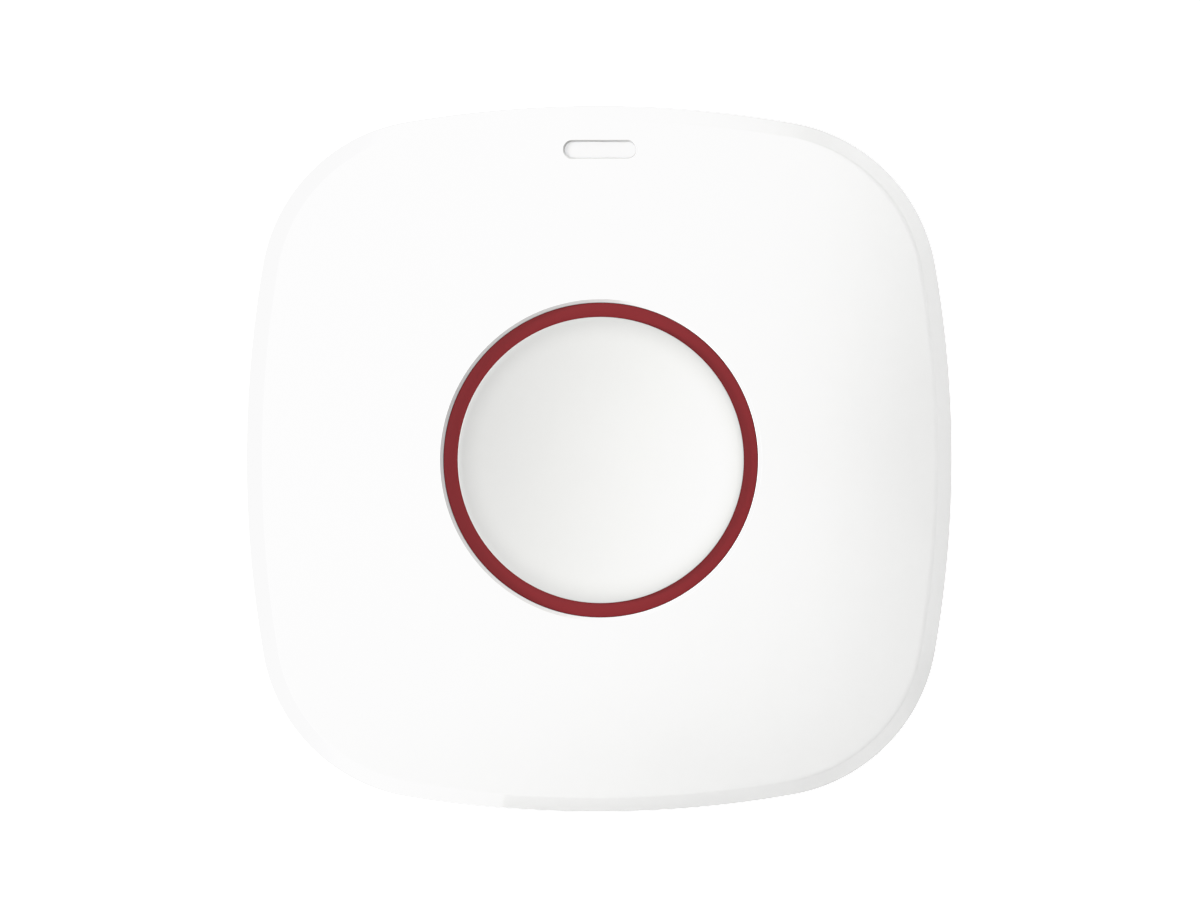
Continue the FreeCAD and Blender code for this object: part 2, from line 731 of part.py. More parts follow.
def battery_contact_positive():
    """Sprung strip that clasps the holder and presses the coin cell from the wall side."""
    inner = holder_width() / 2 + CONTACT_GAP
    outer = inner + CONTACT_THICKNESS
    bottom = POSITIVE_CONTACT_BOTTOM
    bridge_top = bottom + CONTACT_THICKNESS
    strip = box(2 * outer, POSITIVE_CONTACT_WIDTH, bottom, bridge_top)
    legs = [
        box(
            CONTACT_THICKNESS,
            POSITIVE_CONTACT_WIDTH,
            bottom,
            BOARD_REAR,
            side * (inner + outer) / 2,
        )
        for side in (-1, 1)
    ]
    slits = [
        box(
            TONGUE_LENGTH,
            TONGUE_SLIT,
            bottom - OVERRUN,
            bridge_top + OVERRUN,
            0,
            side * (TONGUE_WIDTH + TONGUE_SLIT) / 2,
        )
        for side in (-1, 1)
    ]
    return fused([strip] + legs).cut(slits)


def battery_contact_negative():
    """Sprung finger between the board and the coin cell's negative face."""
    bottom = BATTERY_TOP + CONTACT_GAP
    finger = box(
        NEGATIVE_CONTACT_WIDTH, NEGATIVE_CONTACT_LENGTH, bottom, bottom + CONTACT_THICKNESS
    )
    foot_length = NEGATIVE_CONTACT_WIDTH / 2
    foot = box(
        NEGATIVE_CONTACT_WIDTH,
        foot_length,
        bottom,
        BOARD_REAR,
        0,
        (NEGATIVE_CONTACT_LENGTH - foot_length) / 2,
    )
    return fused([finger, foot])


def switch_base():
    """Plastic base of a tactile switch, standing on height zero."""
    cavity = PLUNGER_RADIUS + PLUNGER_GAP
    body = box(SWITCH_WIDTH, SWITCH_WIDTH, 0, SWITCH_BASE_HEIGHT)
    body = body.makeChamfer(TERMINAL_THICKNESS, upright_edges(body))
    return body.cut(cylinder(cavity, SWITCH_FLOOR, SWITCH_BASE_HEIGHT + OVERRUN))


def switch_frame():
    """Sheet frame that closes a tactile switch and keeps its plunger in."""
    plate = box(SWITCH_WIDTH, SWITCH_WIDTH, SWITCH_BASE_HEIGHT, SWITCH_TOP)
    plate = plate.makeChamfer(TERMINAL_THICKNESS, upright_edges(plate))
    return plate.cut(
        cylinder(PLUNGER_RADIUS + PLUNGER_GAP, SWITCH_BASE_HEIGHT - OVERRUN, SWITCH_TOP + OVERRUN)
    )


def switch_terminals():
    """Four bent terminals of a tactile switch."""
    pieces = []
    for side in (-1, 1):
        inner = side * (SWITCH_WIDTH + TERMINAL_THICKNESS) / 2
        foot = side * (SWITCH_WIDTH + TERMINAL_FOOT) / 2
        for end in (-1, 1):
            y = end * TERMINAL_SPACING / 2
            leg = box(TERMINAL_THICKNESS, TERMINAL_WIDTH, 0, SWITCH_FLOOR, inner, y)
            sole = box(TERMINAL_FOOT, TERMINAL_WIDTH, 0, TERMINAL_THICKNESS, foot, y)
            pieces.append(fused([leg, sole]))
    return Part.makeCompound(pieces)


def alarm_switch_plunger():
    """Short plunger of the switch under the button."""
    top = SWITCH_TOP + ALARM_PLUNGER_STANDOUT
    stem = cylinder(PLUNGER_RADIUS, SWITCH_BASE_HEIGHT - PLUNGER_DEPTH, top)
    return on_board_front(stem.makeChamfer(PLUNGER_EDGE, front_face(stem).Edges))


def tamper_plunger():
    """Long plunger that reaches through the housing's floor to the ramp on the wall plate."""
    tip_radius = PLUNGER_RADIUS - TIP_BEVEL
    tip = BOARD_REAR - RAMP_SEAT - RAMP_SLOPE * tip_radius - RAMP_GAP
    stem = cylinder(PLUNGER_RADIUS, SWITCH_BASE_HEIGHT - PLUNGER_DEPTH - TAMPER_TRAVEL, tip)
    return on_board_rear(stem.makeChamfer(TIP_BEVEL, front_face(stem).Edges))


def on_board_front(shape):
    """Stand a piece on the front of the board."""
    return moved(shape, 0, 0, BOARD_FRONT)


def on_board_rear(shape):
    """Hang a piece from the rear of the board, over the tamper ramp."""
    return moved(flipped(shape), 0, TAMPER_HEIGHT, BOARD_REAR)


def button_cap():
    """Cap with a shallow spherical dish and a bevelled edge."""
    blank = revolved(
        [
            (0, RING_BOTTOM),
            (CAP_RADIUS, RING_BOTTOM),
            (CAP_RADIUS, CAP_TOP - CAP_EDGE),
            (CAP_RADIUS - CAP_EDGE, CAP_TOP),
            (0, CAP_TOP),
        ]
    )
    dish_rim = CAP_RADIUS - CAP_EDGE / 2
    dish_radius = (dish_rim**2 + DISH_DEPTH**2) / (2 * DISH_DEPTH)
    dish = flipped(ball_seamed_below(dish_radius))
    return blank.cut(moved(dish, 0, 0, CAP_TOP - DISH_DEPTH + dish_radius))


def snap_leg():
    """Flat leg under the button's edge, hooked outwards to catch the collar."""
    outer = math.sqrt(BUTTON_RADIUS**2 - LEG_WIDTH**2 / 4)
    hook_top = COLLAR_BOTTOM - LEG_STOP_GAP
    hook_bottom = hook_top - LEG_HOOK_HEIGHT
    buried = BODY_UNDERSIDE + OVERRUN
    profile = [
        (outer - LEG_THICKNESS, hook_bottom),
        (outer, hook_bottom),
        (outer + LEG_HOOK, hook_top - LEG_HOOK_HEIGHT / 2),
        (outer + LEG_HOOK, hook_top),
        (outer, hook_top),
        (outer, buried),
        (outer - LEG_THICKNESS, buried),
    ]
    points = [FreeCAD.Vector(x, -LEG_WIDTH / 2, z) for x, z in profile]
    face = Part.Face(Part.makePolygon(points + points[:1]))
    return face.extrude(FreeCAD.Vector(0, LEG_WIDTH, 0))


def button_body():
    """Red body of the button: a disc in a raised ring, with ribs, a hub and snap legs."""
    cup = revolved(
        [
            (0, BODY_UNDERSIDE),
            (BUTTON_RADIUS, BODY_UNDERSIDE),
            (BUTTON_RADIUS, RING_TOP),
            (RING_INNER_RADIUS, RING_TOP),
            (RING_INNER_RADIUS, RING_BOTTOM),
            (0, RING_BOTTOM),
        ]
    )
    buried = BODY_UNDERSIDE + OVERRUN
    hub = box(HUB_WIDTH, HUB_WIDTH, pad_bottom() + PAD_THICKNESS, buried)
    ribs = [
        spoke(
            SPRING_RADIUS + BODY_RIB_CLEARANCE,
            BUTTON_RADIUS - LEG_THICKNESS,
            BODY_RIB_THICKNESS,
            BODY_UNDERSIDE - BODY_RIB_HEIGHT,
            buried,
            number * FULL_TURN / BODY_RIB_COUNT,
        )
        for number in range(BODY_RIB_COUNT)
    ]
    legs = [
        turned(snap_leg(), (number + 0.5) * FULL_TURN / LEG_COUNT) for number in range(LEG_COUNT)
    ]
    return fused([cup, hub] + ribs + legs)


def pad_bottom():
    """Height of the pad over the plunger, which it meets before the button's stroke ends."""
    plunger_top = BOARD_FRONT + SWITCH_TOP + ALARM_PLUNGER_STANDOUT
    return plunger_top + BUTTON_TRAVEL - ALARM_SWITCH_TRAVEL + PAD_GAP


def switch_pad():
    """Soft pad on the button's hub that presses the alarm switch."""
    bottom = pad_bottom()
    return box(PAD_WIDTH, PAD_WIDTH, bottom, bottom + PAD_THICKNESS)


def return_spring():
    """Coil spring of square wire round the alarm switch, which lifts the button."""
    half = SPRING_WIRE / 2
    bottom = BOARD_FRONT + SPRING_GAP + half
    height = BODY_UNDERSIDE - SPRING_GAP - half - bottom
    path = Part.Wire(Part.makeHelix(height / SPRING_TURNS, height, SPRING_RADIUS))
    section = [
        FreeCAD.Vector(SPRING_RADIUS - half, 0, -half),
        FreeCAD.Vector(SPRING_RADIUS + half, 0, -half),
        FreeCAD.Vector(SPRING_RADIUS + half, 0, half),
        FreeCAD.Vector(SPRING_RADIUS - half, 0, half),
    ]
    coil = path.makePipeShell([Part.makePolygon(section + section[:1])], True, True)
    return moved(coil, 0, 0, bottom)


def light_guide():
    """Clear guide that carries the indicator's light to the slot in the cover."""
    length = LIGHT_SLOT_LENGTH - 2 * LIGHT_GUIDE_GAP
    width = LIGHT_SLOT_WIDTH - 2 * LIGHT_GUIDE_GAP
    bottom = BOARD_FRONT + LED_HEIGHT + LED_LENS_HEIGHT + LED_GAP
    top = dome_height(LIGHT_HEIGHT) - LIGHT_GUIDE_SINK
    flange_top = LIGHT_FRAME_BOTTOM - LIGHT_GUIDE_GAP / 2
    stem = stadium(length, width, bottom, top, 0, LIGHT_HEIGHT)
    flange = box(
        length + 2 * LIGHT_FLANGE,
        width + 2 * LIGHT_FLANGE,
        flange_top - LIGHT_FLANGE_THICKNESS,
        flange_top,
        0,
        LIGHT_HEIGHT,
    )
    return fused([stem, flange])


def indicator_led():
    """Small light on the board under the light guide."""
    body = box(LED_LENGTH, LED_WIDTH, 0, LED_HEIGHT)
    lens = chamfered_box(
        LED_LENS_LENGTH, LED_WIDTH, LED_HEIGHT + LED_LENS_HEIGHT, LED_LENS_EDGE
    )
    return moved(fused([body, lens]), 0, LIGHT_HEIGHT, BOARD_FRONT)


def chamfered_box(length, width, height, edge):
    """Box that stands on height zero, with its top edges cut off."""
    plain = box(length, width, 0, height)
    return plain.makeChamfer(edge, front_face(plain).Edges)


def microcontroller():
    """Flat square chip."""
    chip = chamfered_box(CHIP_WIDTH, CHIP_WIDTH, CHIP_HEIGHT, CHIP_EDGE)
    return moved(chip, *CHIP_PLACE, BOARD_FRONT)


def radio_shield():
    """Sheet-metal can over the radio, open towards the board."""
    can = chamfered_box(SHIELD_LENGTH, SHIELD_WIDTH, SHIELD_HEIGHT, SHIELD_WALL)
    inner = box(
        SHIELD_LENGTH - 2 * SHIELD_WALL,
        SHIELD_WIDTH - 2 * SHIELD_WALL,
        -OVERRUN,
        SHIELD_HEIGHT - SHIELD_WALL,
    )
    return moved(can.cut(inner), *SHIELD_PLACE, BOARD_FRONT)


def crystal():
    """Oscillator crystal: a metal lid on a flat base."""
    base = box(CRYSTAL_LENGTH + 2 * CRYSTAL_RIM, CRYSTAL_WIDTH + 2 * CRYSTAL_RIM, 0, CRYSTAL_RIM)
    lid = chamfered_box(CRYSTAL_LENGTH, CRYSTAL_WIDTH, CRYSTAL_HEIGHT, CRYSTAL_RIM)
    return moved(fused([base, lid]), *CRYSTAL_PLACE, BOARD_FRONT)


def buffer_capacitor():
    """Round capacitor on a square base, which carries the radio's bursts."""
    base = box(CAPACITOR_BASE, CAPACITOR_BASE, 0, CAPACITOR_BASE_HEIGHT)
    cut_edges = [edge for edge in upright_edges(base) if edge.Vertexes[0].X < 0]
    base = base.makeChamfer(CAPACITOR_BASE_CUT, cut_edges)
    can = cylinder(CAPACITOR_RADIUS, CAPACITOR_BASE_HEIGHT / 2, CAPACITOR_HEIGHT)
    return moved(fused([base, can]), *CAPACITOR_PLACE, BOARD_FRONT)


def programming_header():
    """Short row of pins used once, when the button is programmed."""
    body = box(HEADER_PINS * HEADER_PITCH, HEADER_WIDTH, 0, HEADER_BODY_HEIGHT)
    pins = [
        box(
            HEADER_PIN_WIDTH,
            HEADER_PIN_WIDTH,
            HEADER_BODY_HEIGHT - OVERRUN,
            HEADER_PIN_HEIGHT,
            (number - (HEADER_PINS - 1) / 2) * HEADER_PITCH,
        )
        for number in range(HEADER_PINS)
    ]
    return moved(fused([body] + pins), *HEADER_PLACE, BOARD_FRONT)


def radio_antenna():
    """Folded strip that stands on edge along the bottom of the board, on three feet."""
    half = ANTENNA_LENGTH / 2
    strip = box(
        ANTENNA_LENGTH, ANTENNA_THICKNESS, ANTENNA_RISE - ANTENNA_STRIP, ANTENNA_RISE
    )
    leg_places = (
        -half + ANTENNA_STRIP / 2,
        -half + ANTENNA_STRIP / 2 + ANTENNA_FEED,
        half - ANTENNA_STRIP / 2,
    )
    legs = [box(ANTENNA_STRIP, ANTENNA_THICKNESS, 0, ANTENNA_RISE, x) for x in leg_places]
    return moved(fused([strip] + legs), *ANTENNA_PLACE, BOARD_FRONT)


def passive_part():
    """Small ceramic part with a metal cap on each end."""
    body = box(PASSIVE_LENGTH, PASSIVE_WIDTH, 0, PASSIVE_HEIGHT)
    width = PASSIVE_WIDTH + 2 * PASSIVE_CAP_RISE
    height = PASSIVE_HEIGHT + PASSIVE_CAP_RISE
    reach = (PASSIVE_LENGTH - PASSIVE_CAP) / 2 + PASSIVE_CAP_RISE
    ends = [box(PASSIVE_CAP, width, 0, height, side * reach) for side in (-1, 1)]
    return fused([body] + ends)


def chip_parts():
    """Resistors and capacitors in short rows beside the parts that they serve."""
    rows = [
        (CHIP_PLACE[0], CHIP_PLACE[1] + CHIP_WIDTH, 2),
        (SHIELD_PLACE[0] + SHIELD_LENGTH / 2 + 2 * PASSIVE_LENGTH, SHIELD_PLACE[1], 2),
        (HEADER_PLACE[0], HEADER_PLACE[1] + 2 * HEADER_WIDTH, 2),
        (LED_LENGTH + 2 * PASSIVE_LENGTH, LIGHT_HEIGHT - LED_LENGTH, 2),
        (-HEADER_PLACE[0], HEADER_PLACE[1], 2),
    ]
    one = passive_part()
    parts = []
    for x, y, count in rows:
        for number in range(count):
            offset = (number - (count - 1) / 2) * PASSIVE_PITCH
            parts.append(moved(one, x + offset, y, BOARD_FRONT))
    return Part.makeCompound(parts)


NODES = {
    "wall_plate": wall_plate,
    "rear_housing": rear_housing,
    "front_cover": front_cover,
    "housing_screws": housing_screws,
    "circuit_board": circuit_board,
    "button_cap": button_cap,
    "button_body": button_body,
    "switch_pad": switch_pad,
    "return_spring": return_spring,
    "alarm_switch_base": lambda: on_board_front(switch_base()),
    "alarm_switch_frame": lambda: on_board_front(switch_frame()),
    "alarm_switch_terminals": lambda: on_board_front(switch_terminals()),
    "alarm_switch_plunger": alarm_switch_plunger,
    "tamper_switch_base": lambda: on_board_rear(switch_base()),
    "tamper_switch_frame": lambda: on_board_rear(switch_frame()),
    "tamper_switch_terminals": lambda: on_board_rear(switch_terminals()),
    "tamper_plunger": tamper_plunger,
    "light_guide": light_guide,
    "indicator_led": indicator_led,
    "battery": battery,
    "battery_holder": battery_holder,
    "battery_contact_positive": battery_contact_positive,
    "battery_contact_negative": battery_contact_negative,
    "microcontroller": microcontroller,
    "radio_shield": radio_shield,
    "radio_antenna": radio_antenna,
    "crystal": crystal,
    "buffer_capacitor": buffer_capacitor,
    "programming_header": programming_header,
    "chip_parts": chip_parts,
}

os.makedirs("parts", exist_ok=True)
for name, build in NODES.items():
    hang(build()).exportStep("parts/" + name + ".step")
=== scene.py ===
import json
import logging
import math
from dataclasses import dataclass, replace
from enum import Enum
from functools import reduce
from typing import Callable

import bmesh
import bpy
from mathutils import Matrix, Vector

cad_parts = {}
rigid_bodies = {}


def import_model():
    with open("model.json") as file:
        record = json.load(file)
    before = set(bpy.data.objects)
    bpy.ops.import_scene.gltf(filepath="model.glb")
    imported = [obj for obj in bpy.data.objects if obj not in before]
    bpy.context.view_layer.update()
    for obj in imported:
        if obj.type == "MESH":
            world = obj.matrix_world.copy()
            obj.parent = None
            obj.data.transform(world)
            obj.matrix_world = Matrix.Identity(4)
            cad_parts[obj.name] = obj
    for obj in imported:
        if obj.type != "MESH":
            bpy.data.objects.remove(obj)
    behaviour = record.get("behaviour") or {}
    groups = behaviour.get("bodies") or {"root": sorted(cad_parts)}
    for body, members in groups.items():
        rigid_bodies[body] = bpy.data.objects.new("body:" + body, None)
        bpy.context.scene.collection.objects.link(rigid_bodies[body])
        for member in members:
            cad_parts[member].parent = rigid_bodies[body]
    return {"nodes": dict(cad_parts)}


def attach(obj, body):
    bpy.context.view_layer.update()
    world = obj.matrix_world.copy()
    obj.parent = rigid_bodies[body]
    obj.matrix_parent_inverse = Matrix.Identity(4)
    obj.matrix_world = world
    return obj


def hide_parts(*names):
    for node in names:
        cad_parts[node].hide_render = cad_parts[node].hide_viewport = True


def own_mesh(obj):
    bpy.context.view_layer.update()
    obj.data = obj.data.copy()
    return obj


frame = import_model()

# Looks of a wireless panic button that hangs on a wall plate. New pieces are modelled as on a
# bench, in millimetres and face up (X right, Y to the top, Z out of the wall), and are then
# hung: turned upright to face -Y and brought to metres. Finishes and the studio are in metres.

LOG = logging.getLogger("panic_button")

Place = tuple[float, float]
Point = tuple[float, float, float]
Colour = tuple[float, float, float]
Span = tuple[float, float]
Piece = bpy.types.Object
Socket = bpy.types.NodeSocket
PointTest = Callable[[Vector], bool]
EdgeTest = Callable[[Vector, Vector], bool]

MILLIMETRE = 0.001
FULL_TURN = 2 * math.pi
HALF_TURN = FULL_TURN / 2
QUARTER_TURN = FULL_TURN / 4
SIDEWAYS: Point = (0, 1, 0)
RISING: Span = (0.0, 1.0)
FALLING: Span = (1.0, 0.0)

# How near a point lies to what it is picked by, how near points are merged, by how much a
# cutting shape runs past the faces that it cuts, and how finely corners and rods are drawn
NEAR = 0.02
MERGED = 0.001
OVERRUN = 1.0
CORNER_STEPS = 10
ROD_SIDES = 48


class Body(Enum):
    """The bodies of the frame that new pieces ride on."""

    WALL = "wall_mount"
    HOUSING = "housing"
    BUTTON = "button"


class Grain(Enum):
    """How a surface is textured, by the detail of its noise. Cast surfaces have cells."""

    CAST = 0.0
    POLISHED = 1.0
    SATIN = 2.0
    BRUSHED = 3.0
    SPARKED = 4.0


# Materials


class Nodes:
    """A short way to wire the nodes of one material or world."""

    def __init__(self, tree: bpy.types.NodeTree) -> None:
        """Empty the tree and keep it."""
        tree.nodes.clear()
        self.tree = tree

    def add(self, kind: str, **values: object) -> bpy.types.Node:
        """Add one node.

        Args:
            kind: the node's type name, without "ShaderNode".
            values: its properties, and by "in_NAME" or "in_NUMBER" its input sockets.

        Returns:
            The new node.
        """
        node = self.tree.nodes.new("ShaderNode" + kind)
        for key, value in values.items():
            if not key.startswith("in_"):
                setattr(node, key, value)
                continue
            name = key[3:]
            socket = node.inputs[int(name) if name.isdigit() else name.replace("_", " ")]
            if isinstance(value, Socket):
                self.tree.links.new(value, socket)
            else:
                socket.default_value = value
        return node

    def math(self, operation: str, *terms: object) -> Socket:
        """Result of one operation on numbers or sockets."""
        values = {f"in_{number}": term for number, term in enumerate(terms)}
        return self.add("Math", operation=operation, **values).outputs[0]

    def total(self, *terms: object) -> Socket:
        """Sum of numbers or sockets, from left to right."""
        return reduce(lambda one, two: self.math("ADD", one, two), terms)

    def product(self, *terms: object) -> Socket:
        """Product of numbers or sockets, from left to right."""
        return reduce(lambda one, two: self.math("MULTIPLY", one, two), terms)

    def mixed(self, one: Socket, two: Socket, share: float) -> Socket:
        """Mean of two values, with a share of the first."""
        return self.math("MULTIPLY_ADD", one, share, self.product(two, 1 - share))

    def above_zero(self, term: Socket) -> Socket:
        """A value, or zero where it is negative."""
        return self.math("MAXIMUM", term, 0.0)

    def noise(self, place: Socket, scale: float, detail: float, roughness: float) -> Socket:
        """Noise at a place, from 0 to 1.

        Args:
            place: the place.
            scale: how many grains go into a metre.
            detail: how many finer layers it has.
            roughness: how strong the finer layers are.

        Returns:
            The noise.
        """
        values = {"in_Scale": scale, "in_Detail": detail, "in_Roughness": roughness}
        return self.add("TexNoise", in_Vector=place, **values).outputs["Fac"]

    def ramp(self, source: Socket, span: Span, levels: Span = RISING) -> Socket:
        """Map a span of values to levels, held at both ends.

        Args:
            source: the value.
            span: its values at the ramp's start and end.
            levels: the results at the start and end.

        Returns:
            The result.
        """
        node = self.add(
            "MapRange",
            clamp=True,
            in_Value=source,
            in_From_Min=span[0],
            in_From_Max=span[1],
            in_To_Min=levels[0],
            in_To_Max=levels[1],
        )
        return node.outputs["Result"]


# Painted shade: darkens the colour on the side of a hole's edge turned from the light
@dataclass(frozen=True)
class PaintedEdgeShade:
    """Painted shade on one side of the edge of a level hole with half-round ends, in metres.

    It's seen from the front. Its ends have their centres half_length to each side.
    """

    height: float
    half_length: float
    radius: float
    toward: Place
    shade: float
    softness: float = 0.00004

    def light(self, nodes: Nodes, place: Socket) -> Socket:
        """Share of the colour left by the painted shade: 1 outside the hole, less on its dark
        side.

        Args:
            nodes: the material's nodes.
            place: Object coordinates.

        Returns:
            The share.
        """
        parts = nodes.add("SeparateXYZ", in_Vector=place).outputs
        nearest = nodes.math("MINIMUM", parts[0], self.half_length)
        nearest = nodes.math("MAXIMUM", nearest, -self.half_length)
        aside = nodes.math("SUBTRACT", parts[0], nearest)
        above = nodes.math("SUBTRACT", parts[2], self.height)
        squares = nodes.math("MULTIPLY_ADD", aside, aside, nodes.product(above, above))
        reach = nodes.math("SQRT", squares)
        right, up = self.toward
        lean = nodes.total(nodes.product(aside, right), nodes.product(above, up))
        facing = nodes.above_zero(nodes.math("DIVIDE", lean, reach))
        inside = nodes.ramp(reach, (self.radius - self.softness, self.radius), FALLING)
        return nodes.math("MULTIPLY_ADD", nodes.product(facing, inside), -self.shade, 1.0)


# Painted shade: darkens the colour towards a rim, where shade falls
@dataclass(frozen=True)
class PaintedRimShade:
    """Painted shade towards a round rim about the button's axis, where the colour darkens, in
    metres.
    """

    radius: float
    width: float
    shade: float

    def light(self, nodes: Nodes, place: Socket) -> Socket:
        """Share of the colour left by the painted shade, least at the rim.

        Args:
            nodes: the material's nodes.
            place: Object coordinates.

        Returns:
            The share.
        """
        flat = nodes.add("VectorMath", operation="MULTIPLY", in_0=place, in_1=(1.0, 0.0, 1.0))
        reach = nodes.add("VectorMath", operation="LENGTH", in_0=flat.outputs[0])
        near = nodes.ramp(reach.outputs["Value"], (self.radius - self.width, self.radius))
        return nodes.math("MULTIPLY_ADD", nodes.math("POWER", near, 2.0), -self.shade, 1.0)


@dataclass(frozen=True)
class Finish:
    """One finish: its colour, gloss and surface texture. Sizes are in metres.

    Its grains are grain_size wide and grain_depth high. The colour varies by the share
    shade, and the roughness by roughness_spread, to each side.
    """

    name: str
    colour: Colour
    roughness: float
    grain: Grain
    grain_size: float
    grain_depth: float
    shade: float
    roughness_spread: float
    metallic: float = 0.0
    coat: float = 0.0
    coat_roughness: float = 0.03
    ior: float = 1.5
    specular: float = 0.5
    subsurface: float = 0.0
    subsurface_radius: Colour = (1.0, 0.9, 0.8)
    subsurface_scale: float = 0.0008
    transmission: float = 0.0
    # Painted shade: darkenings laid on the colour where shade falls, at a hole's edge or a rim
    painted_shades: tuple[PaintedEdgeShade | PaintedRimShade, ...] = ()
    cloud_scale: float = 90.0
    cloud_detail: float = 3.0
    cloud_roughness: float = 0.55
    grain_roughness: float = 0.6
    grain_in_gloss: float = 0.4
    grain_in_colour: float = 0.3
    brush_stretch: float = 24.0
    least_roughness: float = 0.02
    pattern: Span = (0.3, 0.7)

    def material(self) -> bpy.types.Material:
        """Build the procedural material of this finish.

        Returns:
            The material, read from Object coordinates.
        """
        material = bpy.data.materials.new(self.name)
        material.use_nodes = True
        material.diffuse_color = (*self.colour, 1.0)
        nodes = Nodes(material.node_tree)
        place = drawn = nodes.add("TexCoord").outputs["Object"]
        if self.grain is Grain.BRUSHED:
            stretch = (1.0, 1.0, self.brush_stretch)
            drawn = nodes.add("Mapping", in_Vector=place, in_Scale=stretch).outputs[0]
        grains = self._grains(nodes, drawn)
        clouds = nodes.noise(drawn, self.cloud_scale, self.cloud_detail, self.cloud_roughness)
        low = max(self.roughness - self.roughness_spread, self.least_roughness)
        high = self.roughness + self.roughness_spread
        uneven = nodes.mixed(grains, clouds, self.grain_in_gloss)
        bump = nodes.add("Bump", in_Strength=1.0, in_Distance=self.grain_depth, in_Height=grains)
        shader = nodes.add(
            "BsdfPrincipled",
            in_Base_Color=self._shaded(nodes, place, clouds, grains),
            in_Roughness=nodes.ramp(uneven, self.pattern, (low, high)),
            in_Metallic=self.metallic,
            in_IOR=self.ior,
            in_Specular_IOR_Level=self.specular,
            in_Coat_Weight=self.coat,
            in_Coat_Roughness=self.coat_roughness,
            in_Subsurface_Weight=self.subsurface,
            in_Subsurface_Radius=self.subsurface_radius,
            in_Subsurface_Scale=self.subsurface_scale,
            in_Transmission_Weight=self.transmission,
            in_Normal=bump.outputs[0],
        )
        nodes.add("OutputMaterial", in_Surface=shader.outputs[0])
        return material

    def _grains(self, nodes: Nodes, place: Socket) -> Socket:
        """Height of the fine texture, from 0 to 1.

        Args:
            nodes: the material's nodes.
            place: Object coordinates, drawn out along brushed metal.

        Returns:
            The height.
        """
        scale = 1 / self.grain_size
        if self.grain is Grain.CAST:
            return nodes.add("TexVoronoi", in_Vector=place, in_Scale=scale).outputs["Distance"]
        return nodes.noise(place, scale, self.grain.value, self.grain_roughness)

    def _shaded(self, nodes: Nodes, place: Socket, clouds: Socket, grains: Socket) -> Socket:
        """Colour with the faint cloudiness and grain of a moulded or rolled surface, and its
        painted shade.

        Args:
            nodes: the material's nodes.
            place: Object coordinates.
            clouds: the coarse texture.
            grains: the fine texture.

        Returns:
            The colour.
        """
        uneven = nodes.mixed(grains, clouds, self.grain_in_colour)
        ramp = nodes.add("ValToRGB", in_Fac=uneven)
        levels = (1 - self.shade, 1 + self.shade)
        for element, start, level in zip(ramp.color_ramp.elements, self.pattern, levels):
            element.position = start
            element.color = (*(min(channel * level, 1.0) for channel in self.colour), 1.0)
        colour = ramp.outputs["Color"]
        # Painted shade: each entry darkens the colour where shade falls
        for part in self.painted_shades:
            share = part.light(nodes, place)
            scaled = nodes.add("VectorMath", operation="SCALE", in_0=colour, in_Scale=share)
            colour = scaled.outputs[0]
        return colour


COVER_GLOSS = Finish(
    "cover_white", (0.86, 0.86, 0.852), 0.045, Grain.POLISHED, 0.0012, 0.0000004, 0.006, 0.012
)
HOUSING_TEXTURE = Finish(
    "housing_white", (0.8, 0.8, 0.79), 0.48, Grain.SPARKED, 0.00018, 0.000006, 0.02, 0.06
)
PLATE_TEXTURE = Finish(
    "plate_white", (0.77, 0.77, 0.755), 0.55, Grain.SPARKED, 0.00022, 0.000008, 0.025, 0.06
)
CAP_SATIN = Finish(
    "cap_white", (0.752, 0.752, 0.738), 0.34, Grain.SATIN, 0.0004, 0.000002, 0.008, 0.03,
    specular=0.35,
)
BUTTON_RED = Finish(
    "button_red", (0.215, 0.019, 0.023), 0.45, Grain.SATIN, 0.0005, 0.000002, 0.04, 0.04,
    specular=0.14,
)
GUIDE_MILKY = Finish(
    "light_guide_white", (0.8, 0.795, 0.79), 0.22, Grain.SATIN, 0.0005, 0.000001, 0.006, 0.03,
    subsurface=0.35,
)
SCREW_STEEL = Finish(
    "screw_steel", (0.55, 0.55, 0.56), 0.3, Grain.CAST, 0.00012, 0.000003, 0.06, 0.08,
    metallic=1.0,
)
SPRING_STEEL = Finish(
    "spring_steel", (0.52, 0.52, 0.53), 0.26, Grain.BRUSHED, 0.0002, 0.000002, 0.06, 0.06,
    metallic=1.0,
)
CONTACT_STEEL = Finish(
    "contact_steel", (0.66, 0.65, 0.62), 0.24, Grain.BRUSHED, 0.00025, 0.000001, 0.05, 0.06,
    metallic=1.0,
)
CELL_STEEL = Finish(
    "cell_steel", (0.7, 0.7, 0.7), 0.2, Grain.BRUSHED, 0.0003, 0.000001, 0.04, 0.05,
    metallic=1.0,
)
SOLDER_MASK = Finish(
    "board_green", (0.02, 0.16, 0.06), 0.3, Grain.CAST, 0.0007, 0.000003, 0.18, 0.08, coat=0.4
)
SWITCH_BLACK = Finish(
    "switch_black", (0.03, 0.03, 0.03), 0.5, Grain.SPARKED, 0.0002, 0.000004, 0.15, 0.08
)
PLUNGER_BLACK = Finish(
    "plunger_black", (0.04, 0.04, 0.04), 0.36, Grain.SATIN, 0.0003, 0.000003, 0.12, 0.06
)
HOLDER_BLACK = Finish(
    "holder_black", (0.035, 0.035, 0.035), 0.45, Grain.SPARKED, 0.0003, 0.000005, 0.15, 0.08
)
CHIP_BLACK = Finish(
    "chip_black", (0.025, 0.025, 0.028), 0.52, Grain.CAST, 0.00015, 0.000004, 0.2, 0.08
)
SHIELD_TIN = Finish(
    "shield_tin", (0.62, 0.62, 0.61), 0.32, Grain.BRUSHED, 0.0003, 0.000002, 0.07, 0.08,
    metallic=1.0,
)
